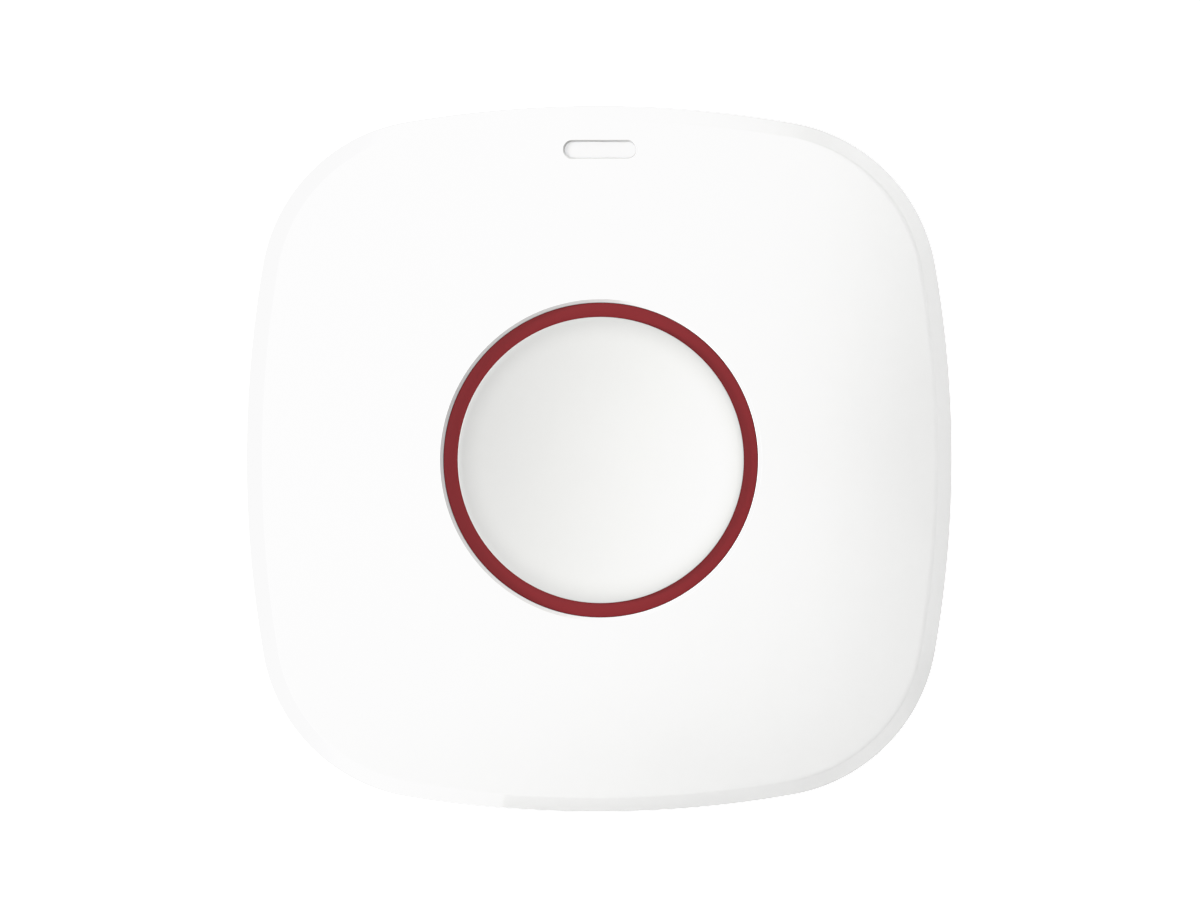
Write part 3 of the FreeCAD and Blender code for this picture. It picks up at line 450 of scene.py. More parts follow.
CAPACITOR_CAN = Finish(
    "capacitor_can", (0.72, 0.72, 0.73), 0.28, Grain.BRUSHED, 0.0003, 0.000001, 0.05, 0.06,
    metallic=1.0,
)
CERAMIC_TAN = Finish(
    "ceramic_tan", (0.42, 0.3, 0.18), 0.5, Grain.CAST, 0.0002, 0.000004, 0.12, 0.08
)
LED_RESIN = Finish(
    "led_resin", (0.8, 0.78, 0.7), 0.15, Grain.POLISHED, 0.0004, 0.000001, 0.03, 0.04,
    transmission=0.3,
)
PAD_RUBBER = Finish(
    "pad_rubber", (0.05, 0.05, 0.05), 0.7, Grain.SPARKED, 0.0003, 0.000006, 0.15, 0.08
)
FLOOR_PAINT = Finish(
    "floor_paint", (0.9, 0.9, 0.9), 0.6, Grain.SPARKED, 0.004, 0.00002, 0.01, 0.04
)

# CAD nodes that stay visible, by the finish that they get
CARRIED: tuple[tuple[Finish, tuple[str, ...]], ...] = (
    (SOLDER_MASK, ("circuit_board",)),
    (PAD_RUBBER, ("switch_pad",)),
    (SWITCH_BLACK, ("alarm_switch_base", "tamper_switch_base")),
    (
        CONTACT_STEEL,
        (
            "alarm_switch_frame",
            "tamper_switch_frame",
            "alarm_switch_terminals",
            "tamper_switch_terminals",
            "battery_contact_positive",
            "battery_contact_negative",
        ),
    ),
    (PLUNGER_BLACK, ("alarm_switch_plunger", "tamper_plunger")),
    (LED_RESIN, ("indicator_led",)),
    (CELL_STEEL, ("battery",)),
    (HOLDER_BLACK, ("battery_holder", "programming_header")),
    (CHIP_BLACK, ("microcontroller",)),
    (SHIELD_TIN, ("radio_shield", "radio_antenna", "crystal")),
    (CAPACITOR_CAN, ("buffer_capacitor",)),
    (CERAMIC_TAN, ("chip_parts",)),
)


class Wardrobe:
    """The materials made so far, one for each finish."""

    made: dict[str, bpy.types.Material] = {}

    @classmethod
    def put_on(cls, piece: Piece, finish: Finish) -> None:
        """Give a piece a finish as its only material, built at its first use.

        Args:
            piece: the piece or CAD node.
            finish: its finish.
        """
        if finish.name not in cls.made:
            cls.made[finish.name] = finish.material()
        piece.data.materials.clear()
        piece.data.materials.append(cls.made[finish.name])


# The bench


def both(test: PointTest) -> EdgeTest:
    """Test of an edge that its two ends both have to pass."""
    return lambda one, two: test(one) and test(two)


def mirrored(across: float, along: float) -> list[Place]:
    """Four places, to each side of the middle along X and Y."""
    return [(x, y) for x in (-across, across) for y in (-along, along)]


class Bench:
    """Modelling in edit mode, with everything selected by its place."""

    @staticmethod
    def clear() -> None:
        """Leave edit mode and deselect everything."""
        if bpy.context.object and bpy.context.object.mode != "OBJECT":
            bpy.ops.object.mode_set(mode="OBJECT")
        bpy.ops.object.select_all(action="DESELECT")

    @staticmethod
    def take(piece: Piece) -> None:
        """Make one piece the only selected one, in object mode.

        Args:
            piece: the piece.
        """
        Bench.clear()
        piece.select_set(True)
        bpy.context.view_layer.objects.active = piece

    @staticmethod
    def open(piece: Piece) -> None:
        """Put one piece in edit mode.

        Args:
            piece: the piece.
        """
        Bench.take(piece)
        bpy.ops.object.mode_set(mode="EDIT")
        bpy.ops.mesh.select_mode(type="VERT")

    @staticmethod
    def start(place: Point) -> Piece:
        """Begin a piece as one vertex.

        Args:
            place: where the vertex lies.

        Returns:
            The new piece, in edit mode, with its vertex selected.
        """
        Bench.clear()
        bpy.ops.mesh.primitive_plane_add(size=1.0)
        piece = bpy.context.active_object
        Bench.open(piece)
        bpy.ops.mesh.select_all(action="SELECT")
        bpy.ops.mesh.merge(type="CENTER")
        bpy.ops.transform.translate(value=place)
        return piece

    @staticmethod
    def point(place: Point) -> None:
        """Add one vertex to the mesh in edit mode and select it alone.

        Args:
            place: where it lies.
        """
        Bench.deselect("VERT")
        bpy.ops.mesh.primitive_plane_add(size=1.0)
        bpy.ops.mesh.merge(type="CENTER")
        bpy.ops.transform.translate(value=place)

    @staticmethod
    def to(step: Point) -> None:
        """Extrude what is selected by a step."""
        bpy.ops.mesh.extrude_region_move(TRANSFORM_OT_translate={"value": step})

    @staticmethod
    def arc(centre: Point, angle: float, steps: int, axis: Point = (0, 0, 1)) -> None:
        """Sweep what is selected round a centre, turning left about the axis."""
        bpy.ops.mesh.spin(steps=steps, dupli=False, angle=-angle, center=centre, axis=axis)

    @staticmethod
    def deselect(kind: str) -> None:
        """Deselect everything and select by "VERT" or "EDGE" from here on."""
        bpy.ops.mesh.select_mode(type=kind)
        bpy.ops.mesh.select_all(action="DESELECT")

    @staticmethod
    def pick_points(wanted: PointTest) -> None:
        """Select the vertices whose place passes a test, and nothing else.

        Args:
            wanted: says of a place whether it is wanted.
        """
        Bench.deselect("VERT")
        mesh = bmesh.from_edit_mesh(bpy.context.object.data)
        for vertex in mesh.verts:
            vertex.select = wanted(vertex.co)
        mesh.select_flush_mode()
        bmesh.update_edit_mesh(bpy.context.object.data)

    @staticmethod
    def pick_edges(wanted: EdgeTest, only_open: bool = False) -> None:
        """Select the edges whose two ends pass a test, and nothing else.

        Args:
            wanted: says of the two ends' places whether the edge is wanted.
            only_open: whether edges between two faces are left out.
        """
        Bench.deselect("EDGE")
        mesh = bmesh.from_edit_mesh(bpy.context.object.data)
        for edge in mesh.edges:
            counted = len(edge.link_faces) < 2 or not only_open
            edge.select = counted and wanted(edge.verts[0].co, edge.verts[1].co)
        mesh.select_flush_mode()
        bmesh.update_edit_mesh(bpy.context.object.data)

    @staticmethod
    def soften(wanted: EdgeTest, width: float, steps: int = 2) -> None:
        """Bevel the edges whose two ends pass a test."""
        Bench.pick_edges(wanted)
        bpy.ops.mesh.bevel(offset=width, segments=steps, affect="EDGES")

    @staticmethod
    def lift(height: Callable[[Vector], float]) -> None:
        """Give the selected vertices a height worked out from their place.

        Args:
            height: the height for a place.
        """
        mesh = bmesh.from_edit_mesh(bpy.context.object.data)
        for vertex in mesh.verts:
            if vertex.select:
                vertex.co.z = height(vertex.co)
        bmesh.update_edit_mesh(bpy.context.object.data)

    @staticmethod
    def close_up() -> None:
        """Merge doubles and turn every face outwards."""
        bpy.ops.mesh.select_mode(type="VERT")
        bpy.ops.mesh.select_all(action="SELECT")
        bpy.ops.mesh.remove_doubles(threshold=MERGED / 2)
        bpy.ops.mesh.normals_make_consistent(inside=False)

    @staticmethod
    def prism(path: list[Point], step: Point) -> Piece:
        """Draw a flat face through corners, one extrusion after another, and extrude it.

        Args:
            path: the face's corners, in order.
            step: the way from the face to its opposite.

        Returns:
            The piece, in edit mode.
        """
        piece = Bench.start(path[0])
        for before, after in zip(path, path[1:]):
            Bench.to(tuple(new - old for old, new in zip(before, after)))
        bpy.ops.mesh.select_all(action="SELECT")
        bpy.ops.mesh.edge_face_add()
        Bench.to(step)
        Bench.close_up()
        return piece

    @staticmethod
    def block(
        sides: Place,
        bottom: float,
        top: float,
        place: Place = (0, 0),
        radius: float = 0.3,
        edge: float = 0.0,
    ) -> Piece:
        """Upright block between two heights, with rounded edges.

        Args:
            sides: its size along X and Y.
            bottom: its lower end.
            top: its upper end.
            place: its middle along X and Y.
            radius: of its upright edges, or none.
            edge: of the edges round its top and bottom, or none.

        Returns:
            The block, in object mode.
        """
        Bench.clear()
        bpy.ops.mesh.primitive_cube_add(size=1.0, location=(*place, (bottom + top) / 2))
        piece = bpy.context.active_object
        piece.scale = (*sides, top - bottom)
        bpy.ops.object.transform_apply()
        Bench.open(piece)
        half = (top - bottom) / 2
        if radius:
            Bench.soften(lambda one, two: abs(one.z - two.z) > half, radius, CORNER_STEPS)
        if edge:
            Bench.soften(lambda one, two: abs(one.z - two.z) < half, edge)
        Bench.clear()
        return piece

    @staticmethod
    def rod(
        radius: float, bottom: float, top: float, place: Place, sides: int = ROD_SIDES
    ) -> Piece:
        """Upright round bar between two heights.

        Args:
            radius: its radius.
            bottom: its lower end.
            top: its upper end.
            place: its axis along X and Y.
            sides: number of its flat sides.

        Returns:
            The bar, in object mode.
        """
        Bench.clear()
        bpy.ops.mesh.primitive_cylinder_add(
            vertices=sides,
            radius=radius,
            depth=top - bottom,
            location=(*place, (bottom + top) / 2),
        )
        bpy.ops.object.transform_apply()
        return bpy.context.active_object

    @staticmethod
    def modify(piece: Piece, kind: str, **values: object) -> None:
        """Add a modifier to a piece and apply it.

        Args:
            piece: the piece.
            kind: the modifier's type.
            values: its settings.
        """
        Bench.take(piece)
        modifier = piece.modifiers.new(kind.lower(), kind)
        for key, value in values.items():
            setattr(modifier, key, value)
        bpy.ops.object.modifier_apply(modifier=modifier.name)

    @staticmethod
    def cut(piece: Piece, tool: Piece, how: str = "DIFFERENCE") -> Piece:
        """Cut a piece with a tool, or unite them, and remove the tool.

        Args:
            piece: the piece.
            tool: the tool.
            how: the Boolean operation.

        Returns:
            The piece.
        """
        Bench.modify(piece, "BOOLEAN", operation=how, object=tool, solver="EXACT")
        bpy.data.objects.remove(tool)
        return piece

    @staticmethod
    def join(pieces: list[Piece]) -> Piece:
        """Join meshes into one piece.

        Args:
            pieces: the meshes, of which the first is kept.

        Returns:
            The joined piece.
        """
        Bench.take(pieces[0])
        for piece in pieces:
            piece.select_set(True)
        bpy.ops.object.join()
        return pieces[0]

    @staticmethod
    def moved(piece: Piece, turn: float, step: Point = (0, 0, 0)) -> Piece:
        """Turn a piece about the button's axis and then move it.

        Args:
            piece: the piece.
            turn: the angle.
            step: the way.

        Returns:
            The piece, in object mode, with its place in its mesh.
        """
        Bench.take(piece)
        piece.rotation_euler, piece.location = (0, 0, turn), step
        bpy.ops.object.transform_apply()
        return piece

    @staticmethod
    def copied(piece: Piece, turn: float, step: Point = (0, 0, 0)) -> Piece:
        """Copy a piece with its own mesh, turned about the button's axis and then moved.

        Args:
            piece: the piece.
            turn: the angle.
            step: the way.

        Returns:
            The copy, in object mode.
        """
        Bench.clear()
        twin = piece.copy()
        twin.data = piece.data.copy()
        bpy.context.scene.collection.objects.link(twin)
        return Bench.moved(twin, turn, step)

    @staticmethod
    def round_copies(piece: Piece, count: int) -> list[Piece]:
        """Copies of a piece that with it stand evenly round the button's axis."""
        return [Bench.copied(piece, turn * FULL_TURN / count) for turn in range(1, count)]

    @staticmethod
    def dress(
        piece: Piece, name: str, smooth: float, finish: Finish, body: Body, slot: str, node: str
    ) -> None:
        """Hang a piece, give it its finish and its body, and hide the CAD node that it stands for.

        Args:
            piece: the piece, on the bench in millimetres.
            name: its name.
            smooth: edges sharper than this angle, in degrees, stay sharp.
            finish: its finish.
            body: the body that it rides on.
            slot: the material slot of the record; not used.
            node: the CAD node that it replaces.
        """
        Bench.take(piece)
        piece.name = piece.data.name = name
        piece.rotation_euler = (QUARTER_TURN, 0, 0)
        piece.scale = (MILLIMETRE,) * 3
        bpy.ops.object.transform_apply()
        bpy.ops.object.shade_smooth_by_angle(angle=math.radians(smooth))
        Wardrobe.put_on(piece, finish)
        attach(piece, body.value)
        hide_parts(node)
        LOG.info("%s: %d faces, %s", name, len(piece.data.polygons), finish.name)


# The object


@dataclass(frozen=True)
class Outline:
    """The housing's rounded square: four long side arcs and four tangent corner arcs."""

    width: float = 82.0
    side_radius: float = 134.8
    corner_radius: float = 20.2
    side_steps: int = 24
    corner_steps: int = 36

    @property
    def side_centre(self) -> float:
        """Distance of a side arc's centre beyond the middle, below zero."""
        return self.width / 2 - self.side_radius

    @property
    def corner_centre(self) -> float:
        """Distance of a corner arc's centre from the middle, along each axis."""
        step = self.side_radius - self.corner_radius
        return (self.side_centre + math.sqrt(2 * step**2 - self.side_centre**2)) / 2

    @property
    def side_angle(self) -> float:
        """Half the angle of a side arc."""
        return math.asin(self.corner_centre / (self.side_radius - self.corner_radius))

    @property
    def points(self) -> int:
        """Number of points on the outline."""
        return 4 * (self.side_steps + self.corner_steps)

    def corner_reach(self, inset: float) -> float:
        """Distance from the middle to the tip of a corner."""
        return self.corner_centre * math.sqrt(2) + self.corner_radius - inset

    def inset(self, place: Vector) -> float:
        """How far a place lies inside the outline.

        Args:
            place: the place.

        Returns:
            The distance, below zero outside.
        """
        across, along = max(abs(place.x), abs(place.y)), min(abs(place.x), abs(place.y))
        if math.atan2(along, across - self.side_centre) <= self.side_angle:
            return self.side_radius - math.hypot(across - self.side_centre, along)
        corner = self.corner_centre
        return self.corner_radius - math.hypot(across - corner, along - corner)

    def first_point(self, inset: float, height: float) -> Point:
        """Where the sweep of the outline starts and ends.

        Args:
            inset: how far inside the housing's own outline.
            height: height above the wall.

        Returns:
            The point.
        """
        radius = self.side_radius - inset
        across = self.side_centre + radius * math.cos(self.side_angle)
        return (across, -radius * math.sin(self.side_angle), height)

    def sweep(self, height: float) -> None:
        """Sweep the selected first point round the eight arcs and close the wire.

        Args:
            height: height above the wall.
        """
        for quarter in range(4):
            turn = Matrix.Rotation(quarter * QUARTER_TURN, 3, "Z")
            side = turn @ Vector((self.side_centre, 0, height))
            corner = turn @ Vector((self.corner_centre, self.corner_centre, height))
            Bench.arc(side, 2 * self.side_angle, self.side_steps)
            Bench.arc(corner, QUARTER_TURN - 2 * self.side_angle, self.corner_steps)
        bpy.ops.mesh.select_linked()
        bpy.ops.mesh.remove_doubles(threshold=MERGED)

    def draw(self, inset: float, height: float) -> Piece:
        """Draw the outline as a closed wire.

        Args:
            inset: how far inside the housing's own outline.
            height: height above the wall.

        Returns:
            The wire, in edit mode and selected.
        """
        piece = Bench.start(self.first_point(inset, height))
        self.sweep(height)
        return piece

    def on(self, *rings: Span) -> EdgeTest:
        """Test of an edge for lying on or between rings.

        Args:
            rings: the inset and height of each ring.

        Returns:
            The test, which each end of the edge passes on one and the same ring.
        """

        def near(place: Vector, ring: Span) -> bool:
            """Whether a place is on a ring."""
            return abs(place.z - ring[1]) < NEAR and abs(self.inset(place) - ring[0]) < NEAR

        return lambda one, two: any(near(one, ring) and near(two, ring) for ring in rings)

    def loft(self, rings: list[Span]) -> Piece:
        """Draw rings and bridge each to the next, with both ends closed.

        Args:
            rings: the inset and height of each ring.

        Returns:
            The closed shape, in edit mode.
        """
        piece = self.draw(*rings[0])
        for before, after in zip(rings, rings[1:]):
            Bench.point(self.first_point(*after))
            self.sweep(after[1])
            Bench.pick_edges(self.on(before, after))
            bpy.ops.mesh.bridge_edge_loops()
        for end in (rings[0], rings[-1]):
            Bench.pick_edges(self.on(end))
            bpy.ops.mesh.edge_face_add()
        Bench.close_up()
        return piece


@dataclass
class FrontCover:
    """The domed cover: rim chamfer, bevelled button hole with its collar, and light slot."""

    outline: Outline
    screws: list[Place]
    depth: float = 23.0
    dome_radius: float = 305.0
    dome_rings: int = 14
    wall: float = 1.8
    parting: float = 7.0
    chamfer_width: float = 1.72
    chamfer_drop: float = 1.1
    shoulder: float = 0.5
    edge_radius: float = 0.14
    hole_radius: float = 18.24
    hole_bevel: float = 0.39
    hole_border: float = 1.2
    collar_bottom: float = 15.5
    slot_length: float = 8.74
    slot_width: float = 2.35
    slot_height: float = 35.92
    slot_steps: int = 24
    flare: float = 0.22
    flare_depth: float = 0.24
    ceiling: float = 18.4
    fitting_gap: float = 0.1
    boss_radius: float = 3.0
    pilot_radius: float = 1.3
    pilot_top: float = 13.5
    pilot_sides: int = 32
    rib_width: float = 3.0
    rib_across: float = 18.0
    rib_along: float = 37.0
    board_front: float = 10.2
    frame_wall: float = 1.0
    frame_bottom: float = 16.0
    frame_top: float = 20.4
    # Painted shade on the left of the hole's and the slot's edges
    hole_painted_shade: float = 0.34
    hole_shade_toward: Place = (-0.97, 0.26)
    hole_shade_margin: float = 0.02
    slot_painted_shade: float = 0.44
    slot_shade_toward: Place = (-0.7, 0.72)
    slot_shade_margin: float = 0.035

    @property
    def dome_centre(self) -> float:
        """Height of the dome's centre, far behind the wall."""
        edge = self.hole_radius + self.hole_bevel
        return self.depth - math.sqrt(self.dome_radius**2 - edge**2)

    def dome(self, place: Vector) -> float:
        """Height of the dome over a place."""
        distance = place.x**2 + place.y**2
        return self.dome_centre + math.sqrt(self.dome_radius**2 - distance)

    def rim(self, place: Vector) -> float:
        """Height of the lower edge of the rim's chamfer."""
        return self.dome(place) - self.chamfer_drop

    def shell(self) -> Piece:
        """Model the cover's skin and give it its wall.

        Returns:
            The cover, on the bench.
        """
        piece = self.outline.draw(0.0, self.depth)
        Bench.lift(self.rim)
        bpy.ops.mesh.edge_face_add()
        for width in (self.chamfer_width, self.shoulder):
            bpy.ops.mesh.inset(thickness=width, use_even_offset=True)
            Bench.lift(self.dome)
        bpy.ops.mesh.delete(type="ONLY_FACE")
        self._open_hole(self.hole_border, self.dome_rings)
        self._open_hole(0.0, 0)
        inner = self.hole_radius + self.hole_bevel
        self._drop_wall(self.collar_bottom, lambda reach: reach < inner)
        self._drop_wall(self.parting, lambda reach: reach >= inner)
        Bench.close_up()
        Bench.modify(piece, "SOLIDIFY", thickness=self.wall, offset=-1.0, use_even_offset=True)
        return piece

    def _open_hole(self, border: float, cuts: int) -> None:
        """Bridge the innermost open edge to a circle round the button hole.

        Args:
            border: how far outside the hole the circle lies.
            cuts: how many rings of the dome lie between them.
        """
        radius = self.hole_radius + border
        Bench.deselect("VERT")
        bpy.ops.mesh.primitive_circle_add(
            vertices=self.outline.points, radius=radius, location=(0, 0, self.depth)
        )
        Bench.lift(self.dome)
        within = self.chamfer_width / 2
        Bench.pick_edges(lambda one, two: self.outline.inset(one) >= within, only_open=True)
        bpy.ops.mesh.bridge_edge_loops(number_cuts=cuts, interpolation="LINEAR")
        Bench.pick_points(lambda place: place.z > self.rim(place) + self.edge_radius)
        Bench.lift(self.dome)

    def _drop_wall(self, bottom: float, wanted: Callable[[float], bool]) -> None:
        """Extrude a wall down from one of the cover's two open edges.

        Args:
            bottom: the wall's lower end.
            wanted: says of a distance from the axis whether it is that of the edge.
        """
        lowest = self.collar_bottom + OVERRUN
        Bench.pick_edges(lambda one, two: one.z > lowest and wanted(one.xy.length), only_open=True)
        Bench.to((0, 0, -1))
        Bench.lift(lambda place: bottom)

    def soften(self, piece: Piece) -> None:
        """Bevel the edge of the hole and round the edges of the rim's chamfer.

        Args:
            piece: the shell.
        """
        Bench.open(piece)
        Bench.soften(both(self._on_hole), self.hole_bevel, 1)
        Bench.soften(both(self._on_rim), self.edge_radius, 3)
        Bench.clear()

    def _on_hole(self, place: Vector) -> bool:
        """Whether a place is on the sharp edge of the button hole."""
        near = abs(place.xy.length - self.hole_radius) < NEAR
        return near and place.z > self.depth - self.hole_bevel / 2

    def _on_rim(self, place: Vector) -> bool:
        """Whether a place is on the upper or lower edge of the rim's chamfer.

        Args:
            place: the place.

        Returns:
            Whether it is.
        """
        inset = self.outline.inset(place)
        lower = abs(inset) < NEAR and abs(place.z - self.rim(place)) < NEAR
        upper = abs(inset - self.chamfer_width) < NEAR and abs(place.z - self.dome(place)) < NEAR
        return lower or upper

    def slot_bar(self, bottom: float, top: float, gap: float = 0.0) -> Piece:
        """Bar with half-round ends that fills the light slot below its flare.

        Args:
            bottom: its lower end.
            top: its upper end.
            gap: how far its sides stay off the slot's.

        Returns:
            The bar, in object mode.
        """
        radius = self.slot_width / 2 - self.flare - gap
        reach = (self.slot_length - self.slot_width) / 2
        piece = Bench.start((reach, self.slot_height - radius, bottom))
        Bench.arc((reach, self.slot_height, bottom), HALF_TURN, self.slot_steps)
        Bench.to((-2 * reach, 0, 0))
        Bench.arc((-reach, self.slot_height, bottom), HALF_TURN, self.slot_steps)
        bpy.ops.mesh.select_all(action="SELECT")
        bpy.ops.mesh.remove_doubles(threshold=MERGED)
        bpy.ops.mesh.edge_face_add()
        Bench.to((0, 0, top - bottom))
        Bench.close_up()
        Bench.clear()
        return piece

    def slot_flare(self) -> Piece:
        """Shallow bar with sloping sides that bevels the slot's front edge.

        Returns:
            The bar, in object mode, which follows the dome.
        """
        middle = self.depth - OVERRUN
        piece = self.slot_bar(middle - OVERRUN, self.depth)
        Bench.open(piece)
        Bench.pick_points(lambda place: place.z < middle)
        Bench.lift(lambda place: self.dome(place) - self.flare_depth)
        Bench.pick_points(lambda place: place.z > self.depth - NEAR)
        Bench.lift(lambda place: self.dome(place) + self.flare_depth / 2)
        wider = 3 * self.flare
        scale = (1 + wider / self.slot_length, 1 + wider / self.slot_width, 1)
        centre = (0, self.slot_height, self.depth)
        bpy.ops.transform.resize(value=scale, center_override=centre)
        Bench.close_up()
        Bench.clear()
        return piece

    def fittings(self) -> Piece:
        """Screw bosses, ribs over the board's edge and the light guide's frame.

        Returns:
            The fittings, joined, on the bench.
        """
        pieces = []
        for place in self.screws:
            bottom, start = self.parting + self.fitting_gap, self.parting - OVERRUN
            boss = Bench.rod(self.boss_radius, bottom, self.ceiling, place)
            pilot = (self.pilot_radius, start, self.pilot_top, place, self.pilot_sides)
            pieces.append(Bench.cut(boss, Bench.rod(*pilot)))
        sides = (self.rib_width, self.rib_width)
        for place in mirrored(self.rib_across, self.rib_along):
            bottom = self.board_front + self.fitting_gap
            pieces.append(Bench.block(sides, bottom, self.ceiling, place))
        sides = (self.slot_length + 2 * self.frame_wall, self.slot_width + 2 * self.frame_wall)
        window = Bench.block(sides, self.frame_bottom, self.frame_top, (0, self.slot_height))
        Bench.cut(window, self.slot_bar(self.frame_bottom - OVERRUN, self.depth))
        return Bench.join([*pieces, window])

    def finish(self) -> Finish:
        """The cover's gloss, with painted shade on the left of the edges of the hole and the slot.

        Returns:
            The finish.
        """
        hole = self.hole_radius + self.hole_bevel + self.hole_shade_margin
        slot = self.slot_width / 2 + self.slot_shade_margin
        reach = (self.slot_length - self.slot_width) / 2
        # Painted shade on the edges of the hole and the slot
        painted_edge_shades = (
            PaintedEdgeShade(0.0, 0.0, hole * MILLIMETRE, self.hole_shade_toward, self.hole_painted_shade),
            PaintedEdgeShade(
                self.slot_height * MILLIMETRE,
                reach * MILLIMETRE,
                slot * MILLIMETRE,
                self.slot_shade_toward,
                self.slot_painted_shade,
            ),
        )
        return replace(COVER_GLOSS, painted_shades=painted_edge_shades)

    def make(self) -> None:
        """Model, cut, soften and dress the cover and its fittings."""
        shell = self.shell()
        self.soften(shell)
        Bench.cut(shell, self.slot_bar(self.collar_bottom, self.depth + OVERRUN))
        Bench.cut(shell, self.slot_flare())
        look = (self.finish(), Body.HOUSING, "cover_white", "front_cover")
        Bench.dress(shell, "cover_shell", 35.0, *look)
        Bench.dress(self.fittings(), "cover_fittings", 30.0, *look)


@dataclass
class Button:
    """The red button body with its raised ring, and the dished cap that it carries."""

    radius: float = 18.19
    ring_inner: float = 16.57
    ring_top: float = 22.6
    ring_bottom: float = 19.8
    ring_edge: float = 0.03
    underside: float = 18.2
    cap_radius: float = 16.56
    cap_top: float = 22.8
    cap_edge: float = 0.06
    dish_depth: float = 1.2
    dish_steps: int = 28
    edge_steps: int = 6
    # Painted shade towards the cap's rim
    rim_painted_shade: float = 0.19
    rim_shade_width: float = 3.0
    turn_steps: int = 240
    root: float = 0.4
    rib_count: int = 8
    rib_start: float = 5.6
    rib_height: float = 1.5
    rib_width: float = 1.0
    hub_width: float = 5.0
    hub_bottom: float = 15.45
    leg_count: int = 4
    leg_thickness: float = 1.3
    leg_width: float = 6.2
    hook_top: float = 15.4
    hook_reach: float = 1.0
    hook_height: float = 1.4
    hook_edge: float = 0.12

    def cap(self) -> Piece:
        """Turn the cap from the profile of its dish, rim and side.

        Returns:
            The cap, on the bench.
        """
        rim = self.cap_radius - self.cap_edge
        dish_radius = (rim**2 + self.dish_depth**2) / (2 * self.dish_depth)
        bottom = self.cap_top - self.dish_depth
        rise = math.asin(rim / dish_radius)
        piece = Bench.start((0, 0, bottom))
        Bench.arc((0, 0, bottom + dish_radius), -rise, self.dish_steps, SIDEWAYS)
        centre = (rim, 0, self.cap_top - self.cap_edge)
        Bench.arc(centre, QUARTER_TURN, self.edge_steps, SIDEWAYS)
        Bench.to((0, 0, self.ring_bottom - self.cap_top + self.cap_edge))
        Bench.to((-self.cap_radius, 0, 0))
        self._turn()
        return piece

    def _turn(self) -> None:
        """Spin the profile on the bench about the button's axis and close it."""
        bpy.ops.mesh.select_all(action="SELECT")
        Bench.arc((0, 0, 0), FULL_TURN, self.turn_steps)
        Bench.close_up()

    def cup(self) -> Piece:
        """Turn the body's disc and ring and round the ring's edges.

        Returns:
            The cup, on the bench.
        """
        piece = Bench.start((0, 0, self.underside))
        Bench.to((self.radius, 0, 0))
        Bench.to((0, 0, self.ring_top - self.underside))
        Bench.to((self.ring_inner - self.radius, 0, 0))
        Bench.to((0, 0, self.ring_bottom - self.ring_top))
        Bench.to((-self.ring_inner, 0, 0))
        self._turn()
        Bench.soften(
            lambda one, two: min(one.z, two.z) > self.ring_top - NEAR
            and abs(one.xy.length - two.xy.length) < NEAR,
            self.ring_edge,
            3,
        )
        return piece

    def underparts(self) -> list[Piece]:
        """Ribs, hub and snap legs under the button's disc.

        Returns:
            The parts, on the bench, each of which reaches into the disc.
        """
        top = self.underside + self.root
        length = self.radius - self.leg_thickness - self.rib_start
        middle = (self.rib_start + length / 2, 0)
        bottom = self.underside - self.rib_height
        rib = Bench.block((length, self.rib_width), bottom, top, middle, 0.2)
        hub = Bench.block((self.hub_width, self.hub_width), self.hub_bottom, top, radius=0.4)
        leg = Bench.moved(self.leg(top), FULL_TURN / (2 * self.leg_count))
        ribs = Bench.round_copies(rib, self.rib_count)
        return [rib, leg, *ribs, hub, *Bench.round_copies(leg, self.leg_count)]

    def leg(self, top: float) -> Piece:
        """Flat leg whose hook catches the rear edge of the collar.

        Args:
            top: its upper end.

        Returns:
            The leg, on the bench.
        """
        half = self.leg_width / 2
        outer = math.sqrt(self.radius**2 - half**2)
        inner, tip = outer - self.leg_thickness, outer + self.hook_reach
        foot = self.hook_top - self.hook_height
        corners = (
            (inner, foot),
            (outer, foot),
            (tip, self.hook_top - self.hook_height / 2),
            (tip, self.hook_top),
            (outer, self.hook_top),
            (outer, top),
            (inner, top),
        )
        piece = Bench.prism([(x, -half, z) for x, z in corners], (0, self.leg_width, 0))
        Bench.soften(lambda one, two: min(one.z, two.z) < self.hook_top - NEAR, self.hook_edge)
        return piece

    def make(self) -> None:
        """Model and dress the button's body and its cap, with painted shade towards the cap's rim.
        """
        body = Bench.join([self.cup(), *self.underparts()])
        look = (BUTTON_RED, Body.BUTTON, "button_red", "button_body")
        Bench.dress(body, "button_body_red", 40.0, *look)
        # Painted shade towards the cap's rim, in the cap's colour
        reach = (self.cap_radius - self.cap_edge) * MILLIMETRE
        rim = PaintedRimShade(reach, self.rim_shade_width * MILLIMETRE, self.rim_painted_shade)
        finish = replace(CAP_SATIN, painted_shades=(rim,))
        look = (finish, Body.BUTTON, "cap_white", "button_cap")
        Bench.dress(self.cap(), "button_cap_dished", 40.0, *look)


@dataclass(frozen=True)
class Mounting:
    """Where the wall plate and the rear housing meet: four hooks and the tamper plunger."""

    hook_across: float = 19.5
    hook_seats: Span = (17.0, -12.0)
    tamper_height: float = -19.5

    @property
    def hooks(self) -> list[Place]:
        """Places of the hooks' seats."""
        return [(side * self.hook_across, seat) for side in (-1, 1) for seat in self.hook_seats]


